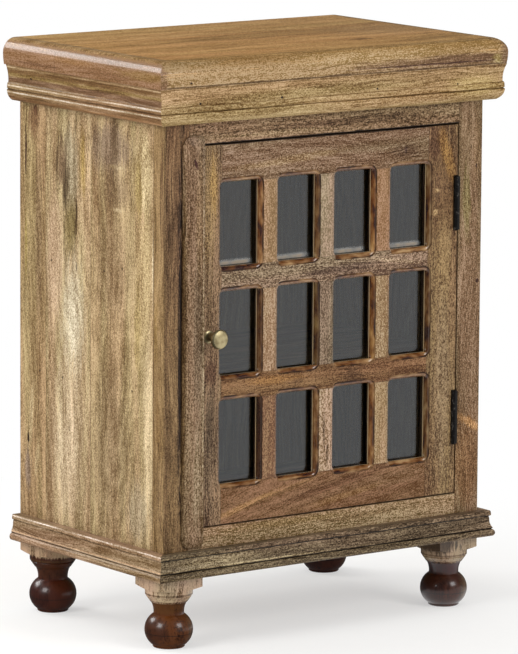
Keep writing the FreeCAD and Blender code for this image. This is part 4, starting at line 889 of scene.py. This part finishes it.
def foot_material(node):
    """Turned mango wood: gloss lacquer over red brown stain, paler on the block and its collar."""
    low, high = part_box(node)
    middle = (low + high) * 500
    block, neck, ball, patch, dark_height = FEET[node]
    # Radius of a mark that runs all round the foot
    round_it = 300
    marks = (
        (neck, (10, middle.x), (dark_height - 10, round_it), 0, 1.0, 0.05),
        (ball, (0, middle.x), (46.5, round_it), 0, 1.0, 0.1),
        # A painted reflection on the right side of the ball, and painted shade on its left side
        (patch, (22, middle.x + 24), (26, 17), 0, 0.85, 0.6),
        ("38231a", (24, middle.x - 27), (26, 9), 0, 0.5, 0.8),
        ("2a1810", (19, middle.x), (0.7, round_it), 0, 0.6, 0.5),
        ("54382a", (60.5, middle.x), (0.9, round_it), 0, 0.6, 0.8),
        ("5e4632", (69.5, middle.x), (1.2, round_it), 0, 0.7, 0.8))
    if node == "foot_front_right":
        # The left half of this block is darker, with dark flecks where it meets the pale half
        marks += (("4b3a28", (86, middle.x - 26), (13, 22), 0, 0.9, 0.5),
                  ("2c1d12", (84, middle.x - 3), (8, 2.2), 8, 0.7, 0.6),
                  ("2c1d12", (80, middle.x + 4), (6, 1.6), -10, 0.6, 0.6))
    look = {"axes": "zxy", "light": "foot", "tones": ("6b563f", block, "bca58b"),
            "seed": 40 + sorted(FEET).index(node), "marks": marks, "fine": 0.45, "rings": 0.05,
            "heart": (middle.x + 14, 10 - middle.y, 0.0), "figure": 0.7, "pores": 0.12, "edge_dark": 0.0,
            "coat": 0.35, "coat_roughness": 0.12, "rougher": -0.08, "specular": 0.3}
    return wood("turned_mango_" + node, look, low, high)


def aged_brass():
    """Cast brass, turned and left to dull: warm sheen with darker, rougher patches."""
    material, tree, shader, source = new_material("aged_brass")
    patches = noise(tree, source["Object"], 160.0, 4.0)
    tarnish = maths(tree, "MULTIPLY", spread(tree, patches, 0.42, 0.7), 0.5)
    base = (*settings("fittings").brass, 1.0)
    plug(tree, shader, {"Base Color": blended(tree, tarnish, base, colour("6e5a33")),
                        "Roughness": spread(tree, patches, 0.3, 0.7, 0.28, 0.44), "Metallic": 1.0})
    return material


def black_iron():
    """Pressed iron with baked black paint: dark, slightly uneven, and worn to grey in spots."""
    material, tree, shader, source = new_material("black_painted_iron")
    patches = noise(tree, source["Object"], 260.0, 4.0)
    wear = spread(tree, patches, 0.56, 0.68, 0.0, 0.6)
    base = (*settings("fittings").iron, 1.0)
    plug(tree, shader, {"Base Color": blended(tree, wear, base, colour("55504b")),
                        "Roughness": spread(tree, patches, 0.3, 0.7, 0.4, 0.55),
                        "Normal": relief(tree, 0.25, 0.0002, patches), "Specular IOR Level": 0.2})
    return material


def zinc_steel():
    """Zinc plated steel: pale grey metal with a faint crystalline mottle."""
    material, tree, shader, source = new_material("zinc_plated_steel")
    spangle = add(tree, "ShaderNodeTexVoronoi", {"Vector": source["Object"], "Scale": 700.0}).outputs[0]
    level = spread(tree, spangle, 0.0, 0.9, 0.0, 0.35)
    base = (*settings("fittings").zinc, 1.0)
    plug(tree, shader, {"Base Color": blended(tree, level, base, colour("8c8c88")),
                        "Roughness": spread(tree, spangle, 0.0, 0.8, 0.28, 0.42), "Metallic": 1.0})
    return material


def brown_plastic():
    """Moulded brown plastic of the catch: even colour with a fine moulded texture."""
    material, tree, shader, source = new_material("moulded_brown_plastic")
    grit = noise(tree, source["Object"], 1500.0, 2.0)
    plug(tree, shader, {"Base Color": blended(tree, grit, colour("3f2c1f"), colour("503a2b")),
                        "Normal": relief(tree, 0.3, 0.0001, grit), "Roughness": 0.55})
    return material


def window_glass():
    """Float glass 3 mm thick: clear and smooth, with a faint grey cast.

    A pale strip shows above the sills of the top row of lights, at the left of each light.
    """
    material, tree, shader, source = new_material("float_glass")
    split = split_up(tree, source["Object"])
    film = noise(tree, source["Object"], 90.0, 2.0)
    height = maths(tree, "SUBTRACT", split["Z"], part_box("door_mid_rail_upper")[1].z)
    start = spread(tree, height, -0.0004, 0.0012)
    stop = spread(tree, height, 0.0030, 0.0086, 1.0, 0.0)
    past = maths(tree, "FLOORED_MODULO", maths(tree, "SUBTRACT", split["X"], LIGHTS_LEFT), LIGHT_PITCH)
    short = spread(tree, past, 0.046, 0.058, 1.0, 0.0)
    strip = maths(tree, "MULTIPLY", maths(tree, "MULTIPLY", start, stop), short)
    strip = maths(tree, "MULTIPLY", strip, spread(tree, film, 0.3, 0.7, 0.45, 0.85))
    tint = (*settings("glass").tint, 1.0)
    plug(tree, shader, {"Base Color": blended(tree, strip, tint, colour("a08a6c")),
                        "Transmission Weight": maths(tree, "SUBTRACT", 1.0, strip),
                        "Roughness": 0.015, "IOR": settings("glass").index})
    return material


def shared(build):
    """The one material that a builder makes, so that pieces can share it."""
    key = "cabinet_" + build.__name__
    scene = bpy.context.scene
    if key not in scene:
        scene[key] = build().name
    return bpy.data.materials[scene[key]]


# Slotted countersunk screws, made by one tree and set out by their places

def screw_tree():
    """Geometry nodes that set a slotted countersunk screw on each point of a mesh."""
    tree = bpy.data.node_groups.new("Slotted screws", "GeometryNodeTree")
    sockets = {}
    for name, kind, default in (("Head radius", "NodeSocketFloat", 0.0027),
                                ("Head height", "NodeSocketFloat", 0.0014),
                                ("Shank radius", "NodeSocketFloat", 0.0015),
                                ("Length", "NodeSocketFloat", 0.014),
                                ("Slot width", "NodeSocketFloat", 0.0007),
                                ("Turn", "NodeSocketVector", (0.0, 0.0, 0.0)),
                                ("Finish", "NodeSocketMaterial", None)):
        socket = tree.interface.new_socket(name, in_out="INPUT", socket_type=kind)
        if default is not None:
            socket.default_value = default
        sockets[name] = socket.identifier
    points = tree.interface.new_socket("Points", in_out="INPUT", socket_type="NodeSocketGeometry")
    tree.interface.new_socket("Screws", in_out="OUTPUT", socket_type="NodeSocketGeometry")
    tree.interface.move(points, 0)
    given = add(tree, "NodeGroupInput").outputs
    head = add(tree, "GeometryNodeMeshCone",
               {"Vertices": 28, "Side Segments": 1, "Radius Top": given["Shank radius"],
                "Radius Bottom": given["Head radius"], "Depth": given["Head height"]})
    shank_length = maths(tree, "SUBTRACT", given["Length"], given["Head height"])
    shank = add(tree, "GeometryNodeMeshCylinder",
                {"Vertices": 20, "Radius": given["Shank radius"], "Depth": shank_length})
    middle = maths(tree, "ADD", given["Head height"], maths(tree, "MULTIPLY", shank_length, 0.5))
    shank = add(tree, "GeometryNodeTransform",
                {"Geometry": shank.outputs[0], "Translation": put_together(tree, 0.0, 0.0, middle)})
    slot_size = put_together(tree, maths(tree, "MULTIPLY", given["Head radius"], 3.0),
                             given["Slot width"], given["Head height"])
    slot = add(tree, "GeometryNodeMeshCube", {"Size": slot_size})
    cut = add(tree, "GeometryNodeMeshBoolean", {"Mesh 1": head.outputs[0], "Mesh 2": slot.outputs[0]},
              operation="DIFFERENCE", solver="EXACT")
    whole = add(tree, "GeometryNodeJoinGeometry")
    tree.links.new(cut.outputs[0], whole.inputs[0])
    tree.links.new(shank.outputs[0], whole.inputs[0])
    spin = add(tree, "FunctionNodeRandomValue", {2: -0.6, 3: 2.2, "Seed": 4}, data_type="FLOAT")
    roll = put_together(tree, 0.0, 0.0, spin.outputs[1])
    turned = add(tree, "FunctionNodeRotateRotation",
                 {0: add(tree, "FunctionNodeEulerToRotation", {0: roll}).outputs[0],
                  1: add(tree, "FunctionNodeEulerToRotation", {0: given["Turn"]}).outputs[0]},
                 rotation_space="GLOBAL")
    placed = add(tree, "GeometryNodeInstanceOnPoints",
                 {"Points": given["Points"], "Instance": whole.outputs[0],
                  "Rotation": turned.outputs[0]})
    real = add(tree, "GeometryNodeRealizeInstances", {0: placed.outputs[0]})
    painted = add(tree, "GeometryNodeSetMaterial",
                  {"Geometry": real.outputs[0], "Material": given["Finish"]})
    add(tree, "NodeGroupOutput", {0: painted.outputs[0]})
    return tree, sockets


def islands(node):
    """Boxes of the separate solids of a node, from its loose triangles."""
    work = bmesh.new()
    work.from_mesh(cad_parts[node].data)
    bmesh.ops.remove_doubles(work, verts=work.verts, dist=1e-6)
    left = set(work.verts)
    boxes = []
    while left:
        stack = [left.pop()]
        points = []
        while stack:
            vertex = stack.pop()
            points.append(vertex.co.copy())
            for edge in vertex.link_edges:
                other = edge.other_vert(vertex)
                if other in left:
                    left.remove(other)
                    stack.append(other)
        low = Vector([min(point[axis] for point in points) for axis in range(3)])
        high = Vector([max(point[axis] for point in points) for axis in range(3)])
        boxes.append((low, high))
    work.free()
    return boxes


def set_screws(kit, name, places, values, body):
    """Run the screw tree on the given places and keep the result as a plain mesh."""
    tree, sockets = kit
    mesh = bpy.data.meshes.new(name + "_places")
    mesh.from_pydata([tuple(place) for place in places], [], [])
    holder = new_object(name + "_holder", mesh)
    modifier = holder.modifiers.new("Screws", "NODES")
    modifier.node_group = tree
    for key, value in values.items():
        modifier[sockets[key]] = value
    bpy.context.view_layer.update()
    evaluated = holder.evaluated_get(bpy.context.evaluated_depsgraph_get())
    result = bpy.data.meshes.new_from_object(evaluated)
    bpy.data.objects.remove(holder)
    piece = new_object(name, result)
    give(piece, values["Finish"])
    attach(piece, body)
    return piece


def screws_for(kit, node, body, finish):
    """Replace a node of screws with slotted ones of the same sizes, lying along the same axes."""
    groups = {}
    for low, high in islands(node):
        size = high - low
        axis = max(range(3), key=lambda place: size[place])
        middle = (low + high) / 2
        if axis == 0:
            towards = 1 if middle.x > 0 and body == "carcass" else -1
            turn = (0.0, towards * math.pi / 2, 0.0)
            head = Vector((low.x if towards > 0 else high.x, middle.y, middle.z))
        elif axis == 1:
            turn = (math.pi / 2, 0.0, 0.0)
            head = Vector((middle.x, high.y, middle.z))
        else:
            turn = (0.0, 0.0, 0.0)
            head = Vector((middle.x, middle.y, low.z))
        across = min(size[place] for place in range(3) if place != axis)
        groups.setdefault((turn, round(size[axis], 5), round(across / 2, 5)), []).append(head)
    for number, ((turn, length, radius), places) in enumerate(sorted(groups.items())):
        values = {"Head radius": radius, "Head height": radius * 0.52, "Shank radius": radius * 0.55,
                  "Length": length, "Slot width": settings("fittings").slot_width, "Turn": turn,
                  "Finish": finish}
        piece = set_screws(kit, f"{node}_slotted_{number + 1}", places, values, body)
        if number == 0:
            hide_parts(node)


# Studio

def reflected(tree, direction, stage):
    """Brightness that gloss sees: one low bright screen at the right front, in a dim studio."""
    flat = vectors(tree, "NORMALIZE", vectors(tree, "MULTIPLY", direction, (1.0, 1.0, 0.0)))
    towards = vectors(tree, "DOT_PRODUCT", flat, SCREEN_TOWARDS)
    bright = spread(tree, towards, 0.72, 0.95)
    low = spread(tree, split_up(tree, direction)["Z"], 0.02, 0.2, 1.0, 0.0)
    return maths(tree, "MULTIPLY_ADD", maths(tree, "MULTIPLY", bright, low),
                 stage.screen - stage.dim, stage.dim)


def make_floor(stage):
    """Pale studio floor: it keeps the shadow near the cabinet and turns to plain white farther off."""
    mesh = bpy.data.meshes.new("studio_floor")
    work = bmesh.new()
    bmesh.ops.create_circle(work, cap_ends=True, segments=96, radius=14.0)
    work.to_mesh(mesh)
    work.free()
    floor = new_object("studio_floor", mesh)
    floor.location.z = -0.0002
    material, tree, shader, source = new_material("matt_paper_floor")
    grit = spread(tree, noise(tree, source["Object"], 40.0, 3.0), 0.3, 0.7, 0.0, 0.06)
    shade = blended(tree, grit, (*stage.floor, 1.0), colour("e4e2dd"))
    plug(tree, shader, {"Base Color": shade, "Roughness": 0.9})
    path = add(tree, "ShaderNodeLightPath").outputs
    seen = maths(tree, "ADD", path["Is Camera Ray"], path["Is Transmission Ray"])
    far = spread(tree, vectors(tree, "LENGTH", source["Object"]), 0.3, 0.95, 0.5, 1.0)
    white = add(tree, "ShaderNodeEmission", {"Color": WHITE, "Strength": 1.0})
    both = add(tree, "ShaderNodeMixShader",
               {0: maths(tree, "MULTIPLY", seen, far), 1: shader.outputs[0], 2: white.outputs[0]})
    mirrored = reflected(tree, source["Object"], stage)
    dim = add(tree, "ShaderNodeEmission", {"Color": WHITE, "Strength": mirrored})
    gloss = maths(tree, "SUBTRACT", path["Is Glossy Ray"], path["Is Transmission Ray"])
    whole = add(tree, "ShaderNodeMixShader", {0: gloss, 1: both.outputs[0], 2: dim.outputs[0]})
    output = [node for node in tree.nodes if node.type == "OUTPUT_MATERIAL"][0]
    plug(tree, output, {"Surface": whole.outputs[0]})
    give(floor, material)


def make_room(stage):
    """Room light: white to the camera and through glass, and a screen in a dim studio to gloss.

    Everything else gets an even light that grows towards the ceiling.
    """
    world = bpy.data.worlds.new("studio_room")
    bpy.context.scene.world = world
    world.use_nodes = True
    tree = world.node_tree
    tree.nodes.clear()
    path = add(tree, "ShaderNodeLightPath").outputs
    seen = maths(tree, "ADD", path["Is Camera Ray"], path["Is Transmission Ray"])
    direction = add(tree, "ShaderNodeTexCoord").outputs["Generated"]
    overhead = spread(tree, split_up(tree, direction)["Z"], 0.1, 0.9, stage.sky,
                      stage.sky + stage.overhead)
    unseen = between(tree, path["Is Glossy Ray"], overhead, reflected(tree, direction, stage))
    light = add(tree, "ShaderNodeBackground",
                {"Color": WHITE, "Strength": between(tree, seen, unseen, 1.0)})
    add(tree, "ShaderNodeOutputWorld", {"Surface": light.outputs[0]})


def aim_lamp(name, power):
    """Large soft lamp that looks at a point of the cabinet."""
    place, target, width, height = LAMPS[name]
    lamp = bpy.data.lights.new(name + "_lamp", "AREA")
    lamp.shape = "RECTANGLE"
    lamp.size = width
    lamp.size_y = height
    lamp.energy = power
    holder = new_object(name + "_lamp", lamp)
    holder.location = place
    holder.rotation_euler = (Vector(target) - Vector(place)).to_track_quat("-Z", "Y").to_euler()


def make_camera(stage):
    """Camera at the photograph's place: left of the front and a little above the top."""
    turn, tip, roll = [math.radians(angle) for angle in CAMERA_ANGLES]
    back = Vector((-math.sin(turn) * math.cos(tip), -math.cos(turn) * math.cos(tip), math.sin(tip)))
    right = (-back).cross(Vector((0, 0, 1))).normalized()
    up = right.cross(-back)
    tilted_right = math.cos(roll) * right + math.sin(roll) * up
    tilted_up = -math.sin(roll) * right + math.cos(roll) * up
    camera = bpy.data.cameras.new("photograph_camera")
    camera.lens = stage.focal_length
    camera.sensor_width = 36.0
    camera.sensor_fit = "AUTO"
    camera.clip_end = 60.0
    holder = new_object("photograph_camera", camera)
    columns = (tilted_right, tilted_up, back)
    rotation = Matrix([[column[row] for column in columns] for row in range(3)]).to_4x4()
    holder.matrix_world = Matrix.Translation(Vector(CAMERA_PLACE)) @ rotation
    bpy.context.scene.camera = holder


# Operators, one for each group of pieces and one for the studio

class CABINET_OT_top(bpy.types.Operator):
    """Finish the thick top board"""
    bl_idname = "cabinet.top"
    bl_label = "Top"

    def execute(self, context):
        finished_copy("top_slab", wood_of("top_slab"), "carcass")
        return {"FINISHED"}


class CABINET_OT_mouldings(bpy.types.Operator):
    """Finish the cornice under the top and the moulding round the base"""
    bl_idname = "cabinet.mouldings"
    bl_label = "Mouldings"

    def execute(self, context):
        for stem in ("cornice", "base"):
            for side in ("front", "left", "right"):
                node = f"{stem}_{side}"
                finished_copy(node, wood_of(node), "carcass", 24)
        return {"FINISHED"}


class CABINET_OT_carcass(bpy.types.Operator):
    """Finish the sides, back, bottom, stretchers, corner blocks and shelf"""
    bl_idname = "cabinet.carcass"
    bl_label = "Carcass"

    def execute(self, context):
        for node in ("side_panel_left", "side_panel_right", "back_panel", "bottom_board",
                     "stretcher_front", "stretcher_back", "foot_corner_blocks", "shelf"):
            give(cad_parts[node], wood_of(node))
        return {"FINISHED"}


class CABINET_OT_face_frame(bpy.types.Operator):
    """Finish the stiles and rails that frame the door"""
    bl_idname = "cabinet.face_frame"
    bl_label = "Face frame"

    def execute(self, context):
        for node in ("frame_stile_left", "frame_stile_right", "frame_top_rail", "frame_bottom_rail"):
            give(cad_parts[node], wood_of(node))
        return {"FINISHED"}


class CABINET_OT_feet(bpy.types.Operator):
    """Finish the four turned feet"""
    bl_idname = "cabinet.feet"
    bl_label = "Feet"

    def execute(self, context):
        for node in FEET:
            finished_copy(node, foot_material(node), "carcass", 24)
        return {"FINISHED"}


class CABINET_OT_door(bpy.types.Operator):
    """Finish the stiles, rails and muntins of the door, with their routed mouldings"""
    bl_idname = "cabinet.door"
    bl_label = "Door"

    def execute(self, context):
        for node in sorted(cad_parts):
            if node.startswith("muntin") or node.startswith("door_") and node in LOOKS:
                finished_copy(node, wood_of(node), "door", 28)
        return {"FINISHED"}


class CABINET_OT_strip(bpy.types.Operator):
    """Finish the closing strip on the free edge of the door"""
    bl_idname = "cabinet.strip"
    bl_label = "Closing strip"

    def execute(self, context):
        finished_copy("closing_strip", wood_of("closing_strip"), "door")
        return {"FINISHED"}


class CABINET_OT_glazing(bpy.types.Operator):
    """Finish the pane and the beads that hold it"""
    bl_idname = "cabinet.glazing"
    bl_label = "Glazing"

    def execute(self, context):
        give(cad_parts["glass_pane"], shared(window_glass))
        for side in ("bottom", "top", "left", "right"):
            node = "glazing_bead_" + side
            give(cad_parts[node], wood_of(node))
        return {"FINISHED"}


class CABINET_OT_knob(bpy.types.Operator):
    """Finish the brass knob and the screw that holds it"""
    bl_idname = "cabinet.knob"
    bl_label = "Knob"

    def execute(self, context):
        finished_copy("knob", shared(aged_brass), "door")
        finished_copy("knob_screw", shared(zinc_steel), "door")
        return {"FINISHED"}


class CABINET_OT_hinges(bpy.types.Operator):
    """Finish the two butt hinges and their pins"""
    bl_idname = "cabinet.hinges"
    bl_label = "Hinges"

    def execute(self, context):
        for place in ("upper", "lower"):
            finished_copy(f"hinge_{place}_frame_leaf", shared(black_iron), "carcass")
            finished_copy(f"hinge_{place}_door_leaf", shared(black_iron), "door")
        finished_copy("hinge_pins", shared(black_iron), "carcass")
        return {"FINISHED"}


class CABINET_OT_catch(bpy.types.Operator):
    """Finish the magnetic catch, its strike plate, the shelf pins and the foot bolts"""
    bl_idname = "cabinet.catch"
    bl_label = "Catch and pins"

    def execute(self, context):
        give(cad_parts["catch_housing"], shared(brown_plastic))
        for node in ("catch_magnet", "strike_plate", "shelf_pins", "foot_bolts"):
            give(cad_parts[node], shared(zinc_steel))
        return {"FINISHED"}


class CABINET_OT_screws(bpy.types.Operator):
    """Set slotted screws in the hinges, the catch and the stretchers"""
    bl_idname = "cabinet.screws"
    bl_label = "Screws"

    def execute(self, context):
        kit = screw_tree()
        screws_for(kit, "carcass_fitting_screws", "carcass", shared(black_iron))
        screws_for(kit, "door_fitting_screws", "door", shared(black_iron))
        screws_for(kit, "top_screws", "carcass", shared(zinc_steel))
        return {"FINISHED"}


class CABINET_OT_stage(bpy.types.Operator):
    """Set up the floor, the room light, the lamps and the camera"""
    bl_idname = "cabinet.stage"
    bl_label = "Stage"

    def execute(self, context):
        stage = settings("stage")
        make_floor(stage)
        make_room(stage)
        aim_lamp("key", stage.key_power)
        aim_lamp("fill", stage.fill_power)
        aim_lamp("back", stage.back_power)
        make_camera(stage)
        context.scene.view_settings.view_transform = "Standard"
        return {"FINISHED"}


class CABINET_PT_panel(bpy.types.Panel):
    """Lists the steps that dress the cabinet, and their settings"""
    bl_idname = "CABINET_PT_panel"
    bl_label = "Side cabinet"
    bl_space_type = "VIEW_3D"
    bl_region_type = "UI"
    bl_category = "Cabinet"

    def draw(self, context):
        layout = self.layout
        for operator in OPERATORS:
            layout.operator(operator.bl_idname)
        for name in GROUPS:
            box = layout.box()
            group = settings(name)
            for key in group.__annotations__:
                box.prop(group, key)


GROUPS = {"wood": CabinetWood, "fittings": CabinetFittings, "glass": CabinetGlass,
          "stage": CabinetStage}
OPERATORS = (CABINET_OT_top, CABINET_OT_mouldings, CABINET_OT_carcass, CABINET_OT_face_frame,
             CABINET_OT_feet, CABINET_OT_door, CABINET_OT_strip, CABINET_OT_glazing,
             CABINET_OT_knob, CABINET_OT_hinges, CABINET_OT_catch, CABINET_OT_screws,
             CABINET_OT_stage)


def register():
    for name, group in GROUPS.items():
        bpy.utils.register_class(group)
        setattr(bpy.types.Scene, "cabinet_" + name, PointerProperty(type=group))
    for operator in OPERATORS:
        bpy.utils.register_class(operator)
    bpy.utils.register_class(CABINET_PT_panel)


def unregister():
    bpy.utils.unregister_class(CABINET_PT_panel)
    for operator in reversed(OPERATORS):
        bpy.utils.unregister_class(operator)
    for name, group in GROUPS.items():
        delattr(bpy.types.Scene, "cabinet_" + name)
        bpy.utils.unregister_class(group)


def main():
    register()
    bpy.ops.cabinet.top()
    bpy.ops.cabinet.mouldings()
    bpy.ops.cabinet.carcass()
    bpy.ops.cabinet.face_frame()
    bpy.ops.cabinet.feet()
    bpy.ops.cabinet.door()
    bpy.ops.cabinet.strip()
    bpy.ops.cabinet.glazing()
    bpy.ops.cabinet.knob()
    bpy.ops.cabinet.hinges()
    bpy.ops.cabinet.catch()
    bpy.ops.cabinet.screws()
    bpy.ops.cabinet.stage()


if __name__ == "__main__":
    main()
